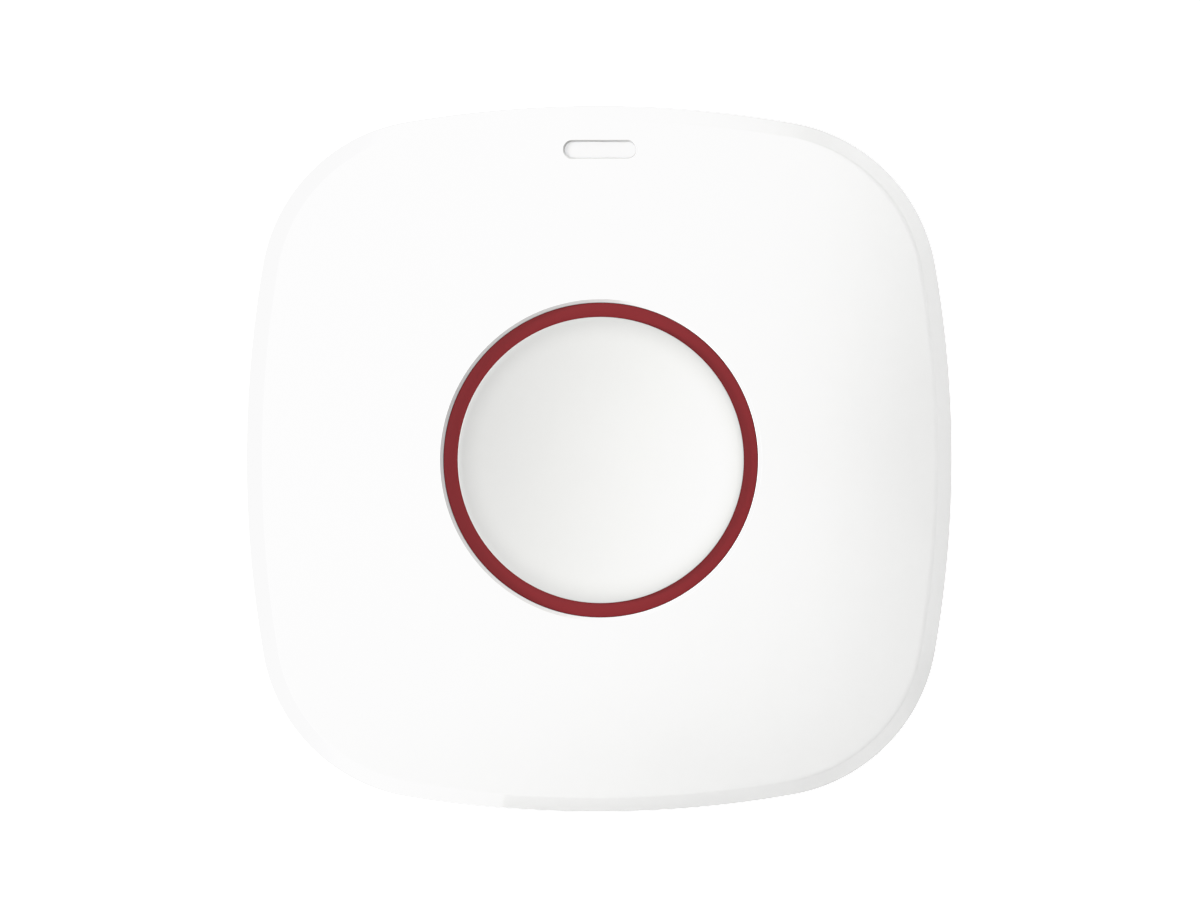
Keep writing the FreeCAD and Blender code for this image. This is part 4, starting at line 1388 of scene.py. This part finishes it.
@dataclass
class RearHousing:
    """The back of the housing: tapered sides, lip, recess for the plate, slots and pockets."""

    outline: Outline
    mounting: Mounting
    rear: float = 0.4
    rear_inset: float = 2.0
    rear_edge: float = 0.35
    parting: float = 7.0
    parting_inset: float = 0.3
    parting_edge: float = 0.1
    lip_inset: float = 1.95
    lip_top: float = 8.5
    wall: float = 3.0
    floor_rear: float = 2.7
    floor_front: float = 4.3
    floor_overrun: float = 0.5
    recess_size: Place = (50.8, 55.8)
    recess_middle: float = -2.5
    recess_corner: float = 7.9
    recess_edge: float = 0.15
    hook_slot: Place = (6.6, 7.4)
    hook_slot_drop: float = 3.6
    tamper_hole: float = 2.1
    screw_inset: float = 6.4
    screw_hole: float = 1.5
    screw_hole_start: float = 1.0
    screw_hole_sides: int = 32
    pocket_radius: float = 2.6
    pocket_depth: float = 2.2
    post_radius: float = 4.2
    rest_size: Place = (3.0, 3.6)
    rest_bottom: float = 3.8
    rest_top: float = 9.0
    rest_across: float = 18.0
    rest_along: float = 36.6

    @property
    def screws(self) -> list[Place]:
        """Places of the two screws, in the lower corners."""
        offset = self.outline.corner_reach(self.screw_inset) / math.sqrt(2)
        return [(-offset, -offset), (offset, -offset)]

    def shell(self) -> Piece:
        """Tapered tray with a lip, its rear edge rounded.

        Returns:
            The tray, on the bench.
        """
        rings = [
            (self.rear_inset, self.rear),
            (self.parting_inset, self.parting),
            (self.lip_inset, self.parting),
            (self.lip_inset, self.lip_top),
            (self.wall, self.lip_top),
            (self.wall, self.floor_front),
        ]
        piece = self.outline.loft(rings)
        Bench.soften(self.outline.on(rings[0]), self.rear_edge, 3)
        Bench.soften(self.outline.on(rings[1]), self.parting_edge)
        return piece

    def recess(self, piece: Piece) -> None:
        """Cut the recess for the wall plate and soften its mouth.

        Args:
            piece: the tray.
        """
        middle = (0, self.recess_middle)
        shape = (self.recess_size, -OVERRUN, self.floor_rear, middle, self.recess_corner)
        Bench.cut(piece, Bench.block(*shape))
        Bench.open(piece)
        Bench.soften(both(self._on_mouth), self.recess_edge)
        Bench.clear()

    def _on_mouth(self, place: Vector) -> bool:
        """Whether a place is on the recess's rear edge.

        Args:
            place: the place.

        Returns:
            Whether it is.
        """
        across = abs(place.x) - self.recess_size[0] / 2
        along = abs(place.y - self.recess_middle) - self.recess_size[1] / 2
        radius = self.recess_corner
        on_corner = min(across, along) > -radius
        corner = math.hypot(across + radius, along + radius) - radius
        reach = corner if on_corner else max(across, along)
        return abs(place.z - self.rear) < NEAR and abs(reach) < 2 * NEAR

    def posts(self, piece: Piece) -> None:
        """Unite the screw posts and the board's rests with the tray.

        Args:
            piece: the tray.
        """
        for place in self.screws:
            bottom = self.floor_front - self.floor_overrun
            Bench.cut(piece, Bench.rod(self.post_radius, bottom, self.parting, place), "UNION")
        for place in mirrored(self.rest_across, self.rest_along):
            rest = Bench.block(self.rest_size, self.rest_bottom, self.rest_top, place, radius=0.0)
            Bench.cut(piece, rest, "UNION")

    def openings(self, piece: Piece) -> None:
        """Cut the hook slots, the tamper hole and the screws' pockets and holes.

        Args:
            piece: the tray.
        """
        low, high = self.floor_rear - self.floor_overrun, self.floor_front + self.floor_overrun
        for x, seat in self.mounting.hooks:
            place = (x, seat - self.hook_slot_drop)
            Bench.cut(piece, Bench.block(self.hook_slot, low, high, place))
        place = (0, self.mounting.tamper_height)
        Bench.cut(piece, Bench.rod(self.tamper_hole, low, high, place))
        for place in self.screws:
            top = self.rear + self.pocket_depth
            Bench.cut(piece, Bench.rod(self.pocket_radius, -OVERRUN, top, place))
            ends = (self.screw_hole_start, self.parting + OVERRUN)
            Bench.cut(piece, Bench.rod(self.screw_hole, *ends, place, self.screw_hole_sides))

    def make(self) -> None:
        """Model and dress the rear housing."""
        piece = self.shell()
        self.recess(piece)
        self.posts(piece)
        self.openings(piece)
        look = (HOUSING_TEXTURE, Body.HOUSING, "housing_white", "rear_housing")
        Bench.dress(piece, "rear_housing_shell", 35.0, *look)


@dataclass
class WallPlate:
    """The plate that is screwed to the wall, with four hooks and the tamper's ramp."""

    mounting: Mounting
    width: float = 50.0
    thickness: float = 2.4
    corner_radius: float = 7.5
    edge: float = 0.2
    hole_across: float = 19.5
    hole_radius: float = 2.1
    sink_radius: float = 3.5
    sink_depth: float = 1.2
    hook_width: float = 6.0
    hook_back: float = 2.0
    hook_level: float = 4.1
    hook_reach: float = 4.7
    hook_root: float = 1.9
    hook_underside: float = 4.45
    hook_tip: float = 5.05
    hook_top: float = 5.65
    hook_edge: float = 0.15
    ramp_width: float = 4.4
    ramp_lead: float = 1.0
    ramp_length: float = 8.2
    ramp_slope: float = 0.2

    def hook(self) -> Piece:
        """Hook that points up, with its seat at height zero along the plate.

        Returns:
            The hook, on the bench, with its edges softened.
        """
        corners = (
            (-self.hook_back, self.hook_root),
            (0.0, self.hook_root),
            (0.0, self.hook_underside),
            (self.hook_level, self.hook_underside),
            (self.hook_reach, self.hook_tip),
            (self.hook_reach, self.hook_top),
            (-self.hook_back, self.hook_top),
        )
        half = self.hook_width / 2
        piece = Bench.prism([(-half, y, z) for y, z in corners], (self.hook_width, 0, 0))
        lowest = self.hook_underside - self.hook_edge
        Bench.soften(lambda one, two: min(one.z, two.z) > lowest, self.hook_edge)
        return piece

    def ramp(self) -> Piece:
        """Wedge that cuts the sloping groove for the tamper plunger.

        Returns:
            The wedge, on the bench.
        """
        start = self.mounting.tamper_height - self.ramp_lead
        end, above = start + self.ramp_length, self.thickness + OVERRUN / 2
        corners = (
            (start, self.thickness),
            (end, self.thickness - self.ramp_slope * self.ramp_length),
            (end, above),
            (start, above),
        )
        half = self.ramp_width / 2
        return Bench.prism([(-half, y, z) for y, z in corners], (self.ramp_width, 0, 0))

    def make(self) -> None:
        """Model and dress the wall plate."""
        sides = (self.width, self.width)
        piece = Bench.block(sides, 0, self.thickness, (0, 0), self.corner_radius, self.edge)
        for side in (-1, 1):
            place = (side * self.hole_across, 0)
            hole = Bench.rod(self.hole_radius, -OVERRUN, self.thickness + OVERRUN, place)
            Bench.cut(piece, hole)
            Bench.clear()
            bpy.ops.mesh.primitive_cone_add(
                vertices=ROD_SIDES,
                radius1=self.hole_radius,
                radius2=2 * self.sink_radius - self.hole_radius,
                depth=2 * self.sink_depth,
                location=(*place, self.thickness),
            )
            Bench.cut(piece, bpy.context.active_object)
        Bench.cut(piece, self.ramp())
        hook = self.hook()
        for place in self.mounting.hooks:
            Bench.cut(piece, Bench.copied(hook, 0.0, (*place, 0)), "UNION")
        bpy.data.objects.remove(hook)
        look = (PLATE_TEXTURE, Body.WALL, "housing_white", "wall_plate")
        Bench.dress(piece, "wall_plate_hooked", 35.0, *look)


@dataclass
class HousingScrews:
    """The two cross-head screws put in from the back."""

    places: list[Place]
    head_radius: float = 2.3
    head_height: float = 1.6
    head_edge: float = 0.55
    head_sides: int = 64
    shank_radius: float = 1.25
    shank_root: float = 0.1
    shank_sides: int = 40
    tip_edge: float = 0.4
    length: float = 9.0
    seat: float = 2.6
    cross_width: float = 0.56
    cross_reach: float = 1.5
    cross_tip: float = 0.55
    cross_depth: float = 1.1
    cross_overrun: float = 0.3
    stop_angle: float = 0.04 * FULL_TURN

    def one(self) -> Piece:
        """One screw on the button's axis, with a rounded head and a cross recess.

        Returns:
            The screw, on the bench.
        """
        rear, tip = self.seat - self.head_height, self.seat + self.length
        piece = Bench.rod(self.head_radius, rear, self.seat, (0, 0), self.head_sides)
        Bench.open(piece)
        Bench.soften(lambda one, two: max(one.z, two.z) < rear + NEAR, self.head_edge, 5)
        for turn in (0.0, QUARTER_TURN):
            Bench.cut(piece, Bench.moved(self.blade(rear), turn))
        root = self.seat - self.shank_root
        shank = Bench.rod(self.shank_radius, root, tip, (0, 0), self.shank_sides)
        Bench.open(shank)
        Bench.soften(lambda one, two: min(one.z, two.z) > tip - NEAR, self.tip_edge)
        return Bench.join([piece, shank])

    def blade(self, rear: float) -> Piece:
        """One arm of the driver's cross, which narrows towards its tip.

        Args:
            rear: height of the head's rear end.

        Returns:
            The arm, on the bench.
        """
        start, end = rear - self.cross_overrun, rear + self.cross_depth
        wide, narrow = self.cross_reach, self.cross_tip
        corners = ((-wide, start), (wide, start), (narrow, end), (-narrow, end))
        path = [(x, -self.cross_width / 2, z) for x, z in corners]
        return Bench.prism(path, (0, self.cross_width, 0))

    def make(self) -> None:
        """Model one screw, copy it and dress both."""
        screw = self.one()
        twins = [Bench.copied(screw, self.stop_angle, (*place, 0)) for place in self.places]
        bpy.data.objects.remove(screw)
        look = (SCREW_STEEL, Body.HOUSING, "screw_steel", "housing_screws")
        Bench.dress(Bench.join(twins), "housing_screw_pair", 40.0, *look)


@dataclass
class LightGuide:
    """The milky bar that fills the cover's slot, on its flange."""

    cover: FrontCover
    gap: float = 0.005
    sink: float = 0.15
    bottom: float = 11.5
    flange_top: float = 15.975
    flange_thickness: float = 1.0
    flange_margin: float = 0.65

    def make(self) -> None:
        """Model and dress the light guide."""
        cover = self.cover
        top = cover.dome(Vector((0, cover.slot_height, 0))) - self.sink
        stem = cover.slot_bar(self.bottom, top, self.gap)
        Bench.open(stem)
        Bench.pick_points(lambda place: place.z > top - NEAR)
        Bench.lift(lambda place: cover.dome(place) - self.sink)
        wider = 2 * self.flange_margin
        sides = (cover.slot_length + wider, cover.slot_width + wider)
        bottom = self.flange_top - self.flange_thickness
        flange = Bench.block(sides, bottom, self.flange_top, (0, cover.slot_height))
        look = (GUIDE_MILKY, Body.HOUSING, "light_guide_white", "light_guide")
        Bench.dress(Bench.cut(stem, flange, "UNION"), "light_guide_bar", 40.0, *look)


@dataclass
class ReturnSpring:
    """The coil spring under the button, wound from round wire."""

    radius: float = 5.0
    wire: float = 0.45
    wire_sides: int = 16
    turns: float = 2.5
    turn_steps: int = 150
    bottom: float = 10.25
    top: float = 18.15
    travel: float = 1.0

    def make(self) -> None:
        """Wind the coil, close its ends and give it a mesh of its own."""
        Bench.clear()
        bpy.ops.mesh.primitive_circle_add(
            vertices=self.wire_sides,
            radius=self.wire / 2,
            location=(self.radius, 0, self.bottom + self.wire / 2),
            rotation=(QUARTER_TURN, 0, 0),
        )
        bpy.ops.object.transform_apply()
        piece = bpy.context.active_object
        height = self.top - self.bottom
        Bench.modify(
            piece,
            "SCREW",
            axis="Z",
            angle=self.turns * FULL_TURN,
            screw_offset=height - self.wire,
            steps=self.turn_steps,
            render_steps=self.turn_steps,
        )
        Bench.open(piece)
        bpy.ops.mesh.select_all(action="SELECT")
        bpy.ops.mesh.fill_holes(sides=0)
        Bench.close_up()
        look = (SPRING_STEEL, Body.HOUSING, "spring_steel", "return_spring")
        Bench.dress(piece, "return_spring_coil", 50.0, *look)
        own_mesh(piece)


# Light and camera


class Sky(Nodes):
    """Nodes of the surroundings, with a ray's direction and its three parts."""

    def __init__(self, tree: bpy.types.NodeTree) -> None:
        """Empty the tree and start it with the direction.

        Args:
            tree: the world's node tree.
        """
        super().__init__(tree)
        self.heading = self.add("TexCoord").outputs["Generated"]
        self.right, self.back, self.up = self.add("SeparateXYZ", in_Vector=self.heading).outputs


@dataclass(frozen=True)
class Surroundings:
    """White surroundings, painted as a function of direction: right, back and up.

    They differ by what sees them: plain white behind the object, an even glow with a soft
    lamp at the upper left for matt surfaces, and a softbox, a panel and a hoop for gloss.
    """

    backdrop: float = 1.9
    backdrop_margin: float = 1.1
    ambient: float = 0.26
    front: float = 1.15
    front_focus: float = 3.0
    lamp: float = 2.2
    lamp_heading: Point = (0.19, -0.25, 0.95)
    lamp_focus: float = 8.0
    sheen: float = 0.67
    veil_start: Span = (0.23, 0.31)
    veil_end: Span = (0.45, 0.6)
    box: float = 2.1
    box_slant: float = -0.4
    box_side: Span = (0.05, 0.31)
    box_side_power: float = 1.8
    box_bottom: Span = (-0.29, -0.09)
    box_back: Span = (-0.75, -0.6)
    panel: float = 1.3
    panel_slant: float = -0.0935
    panel_edge: float = 0.006
    panel_front: float = -0.6
    hoop: float = 0.7
    hoop_front: Span = (-0.6, -0.3)
    hoop_back: Span = (0.15, 0.3)
    hoop_below: float = -1.1
    hoop_above: float = 0.9
    hoop_side: Span = (-0.1, 0.3)
    hoop_levels: Span = (-0.45, 1.0)

    def paint(self) -> None:
        """Make the world and wire its light."""
        world = bpy.data.worlds.new("studio")
        bpy.context.scene.world = world
        world.use_nodes = True
        sky = Sky(world.node_tree)
        rays = sky.add("LightPath").outputs
        seen, glossy = rays["Is Camera Ray"], rays["Is Glossy Ray"]
        others = sky.math("SUBTRACT", 1.0, sky.total(seen, glossy))
        strength = sky.total(
            sky.product(glossy, self._gloss(sky)),
            sky.product(others, self._matt(sky)),
            sky.product(seen, self.backdrop_margin * self.backdrop),
        )
        light = sky.add("Background", in_Color=(1, 1, 1, 1), in_Strength=strength)
        sky.add("OutputWorld", in_Surface=light.outputs[0])

    def _matt(self, sky: Sky) -> Socket:
        """Light on matt surfaces: a glow, stronger from the front, and the soft lamp.

        Args:
            sky: the world's nodes.

        Returns:
            The light.
        """
        ahead = sky.above_zero(sky.product(sky.back, -1.0))
        ahead = sky.math("POWER", ahead, self.front_focus)
        glow = sky.math("MULTIPLY_ADD", ahead, self.front, self.ambient)
        terms = {"in_0": sky.heading, "in_1": self.lamp_heading}
        facing = sky.add("VectorMath", operation="DOT_PRODUCT", **terms).outputs["Value"]
        lobe = sky.math("POWER", sky.above_zero(facing), self.lamp_focus)
        return sky.total(glow, sky.product(lobe, self.lamp))

    def _gloss(self, sky: Sky) -> Socket:
        """Light that glossy surfaces mirror.

        Args:
            sky: the world's nodes.

        Returns:
            The light.
        """
        down = sky.product(sky.up, -1.0)
        sheen = sky.product(self._veil(sky, sky.right), self._veil(sky, down), self.sheen)
        return sky.above_zero(sky.total(sheen, self._box(sky), self._panel(sky), self._hoop(sky)))

    def _veil(self, sky: Sky, part: Socket) -> Socket:
        """Dark band on one side, which the outer slope of the dome mirrors."""
        before = sky.ramp(part, self.veil_start, FALLING)
        return sky.math("MAXIMUM", before, sky.ramp(part, self.veil_end))

    def _box(self, sky: Sky) -> Socket:
        """Large softbox round the camera that fades out to the lower right.

        Args:
            sky: the world's nodes.

        Returns:
            The light.
        """
        aloft = sky.math("ABSOLUTE", sky.up)
        slant = sky.math("MULTIPLY_ADD", aloft, self.box_slant, sky.right)
        fade = sky.math("POWER", sky.ramp(slant, self.box_side), self.box_side_power)
        lit = sky.math("SUBTRACT", 1.0, fade)
        bottom = sky.ramp(sky.up, self.box_bottom)
        return sky.product(lit, bottom, sky.ramp(sky.back, self.box_back, FALLING), self.box)

    def _past_edge(self, sky: Sky) -> Socket:
        """How far a ray goes to the right of the panel's slanting edge."""
        return sky.math("MULTIPLY_ADD", sky.up, self.panel_slant, sky.right)

    def _panel(self, sky: Sky) -> Socket:
        """Tall panel on the left with a hard right edge, which the chamfer mirrors.

        Args:
            sky: the world's nodes.

        Returns:
            The light.
        """
        left = sky.math("LESS_THAN", self._past_edge(sky), self.panel_edge)
        behind = sky.math("GREATER_THAN", sky.back, self.panel_front)
        return sky.product(left, behind, self.panel)

    def _hoop(self, sky: Sky) -> Socket:
        """Dim hoop of light round the view, open on the left.

        Args:
            sky: the world's nodes.

        Returns:
            The light, below zero where the hoop takes some away.
        """
        aloft = sky.above_zero(sky.up)
        below = sky.product(sky.math("MINIMUM", sky.up, 0.0), self.hoop_below)
        return sky.product(
            sky.ramp(sky.back, self.hoop_front),
            sky.ramp(sky.back, self.hoop_back, FALLING),
            sky.math("GREATER_THAN", self._past_edge(sky), self.panel_edge),
            sky.total(below, sky.product(aloft, self.hoop_above), self.hoop),
            sky.ramp(sky.total(sky.right, aloft), self.hoop_side, self.hoop_levels),
        )


@dataclass(frozen=True)
class Studio:
    """A pale floor, raking light, the camera in front of the button and its exposure."""

    surroundings: Surroundings = Surroundings()
    rake: float = 4.0
    rake_angle: float = 8.0
    rake_aside: float = 79.5
    rake_up: float = 3.0
    floor_size: Place = (1.6, 0.95)
    floor_place: Point = (0.0, -0.025, -0.12)
    floor_cells: int = 8
    camera_distance: float = 0.7746
    camera_plane: float = -0.0197
    camera_left: float = 2.0
    camera_above: float = 1.3
    lens: float = 200.0
    sensor: float = 36.0
    clip: Span = (0.01, 10.0)
    straight: tuple[float, ...] = (0.2, 0.4, 0.6, 0.8, 0.9)
    shoulder: tuple[Span, ...] = (
        (0.95, 0.94),
        (1.0, 0.962),
        (1.08, 0.974),
        (1.25, 0.979),
        (1.34, 0.962),
        (1.62, 0.954),
        (1.76, 0.992),
    )

    def set_up(self) -> None:
        """Build the whole studio."""
        self.camera()
        self.floor()
        self.surroundings.paint()
        self.rake_light()
        self.exposure()

    def camera(self) -> None:
        """Camera in front of the button, a hair to the left and above."""
        data = bpy.data.cameras.new("photo_camera")
        camera = bpy.data.objects.new("photo_camera", data)
        bpy.context.scene.collection.objects.link(camera)
        left, above = math.radians(self.camera_left), math.radians(self.camera_above)
        away = Vector((-math.sin(left), -math.cos(left), math.tan(above))).normalized()
        camera.location = Vector((0.0, self.camera_plane, 0.0)) + away * self.camera_distance
        camera.rotation_euler = away.to_track_quat("Z", "Y").to_euler()
        data.lens = self.lens
        data.sensor_width = self.sensor
        data.clip_start, data.clip_end = self.clip
        bpy.context.scene.camera = camera

    def floor(self) -> None:
        """Pale floor below the hanging button, which glossy surfaces don't mirror."""
        Bench.clear()
        cells = self.floor_cells
        bpy.ops.mesh.primitive_grid_add(x_subdivisions=cells, y_subdivisions=cells, size=1.0)
        floor = bpy.context.active_object
        floor.name = floor.data.name = "studio_floor"
        floor.scale = (*self.floor_size, 1.0)
        floor.location = self.floor_place
        bpy.ops.object.transform_apply()
        Wardrobe.put_on(floor, FLOOR_PAINT)
        floor.visible_glossy = False

    def rake_light(self) -> None:
        """Raking light from the left, a little above, that only matt shading shows."""
        data = bpy.data.lights.new("raking_light", "SUN")
        data.energy = self.rake
        data.angle = math.radians(self.rake_angle)
        light = bpy.data.objects.new("raking_light", data)
        bpy.context.scene.collection.objects.link(light)
        aside, up = math.radians(self.rake_aside), math.radians(self.rake_up)
        across = math.sin(aside)
        source = Vector((-across * math.cos(up), -math.cos(aside), across * math.sin(up)))
        light.rotation_mode = "QUATERNION"
        light.rotation_quaternion = source.to_track_quat("Z", "Y")
        light.visible_glossy = False

    def exposure(self) -> None:
        """Plain view with a soft shoulder, so that white plastic stays below white paper."""
        white = self.surroundings.backdrop
        settings = bpy.context.scene.view_settings
        settings.view_transform = "Standard"
        settings.look = "None"
        settings.use_curve_mapping = True
        mapping = settings.curve_mapping
        mapping.white_level = (white,) * 3
        curve = mapping.curves[3]
        for light, shown in (*((level, level) for level in self.straight), *self.shoulder):
            curve.points.new(light / white, shown)
        for point in curve.points:
            point.handle_type = "AUTO_CLAMPED"
        mapping.update()


def dress_carried() -> None:
    """Give every CAD node that stays visible its own finish."""
    for finish, names in CARRIED:
        for name in names:
            Wardrobe.put_on(frame["nodes"][name], finish)
            LOG.info("%s: carried over, %s", name, finish.name)


def main() -> None:
    """Build the studio and the pieces in order and dress what is carried over."""
    logging.basicConfig(level=logging.INFO, format="%(message)s")
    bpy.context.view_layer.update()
    Studio().set_up()
    outline, mounting = Outline(), Mounting()
    rear = RearHousing(outline, mounting)
    cover = FrontCover(outline, rear.screws)
    pieces = (
        cover,
        rear,
        WallPlate(mounting),
        HousingScrews(rear.screws),
        Button(),
        LightGuide(cover),
        ReturnSpring(),
    )
    for piece in pieces:
        piece.make()
    dress_carried()


if __name__ == "__main__":
    main()
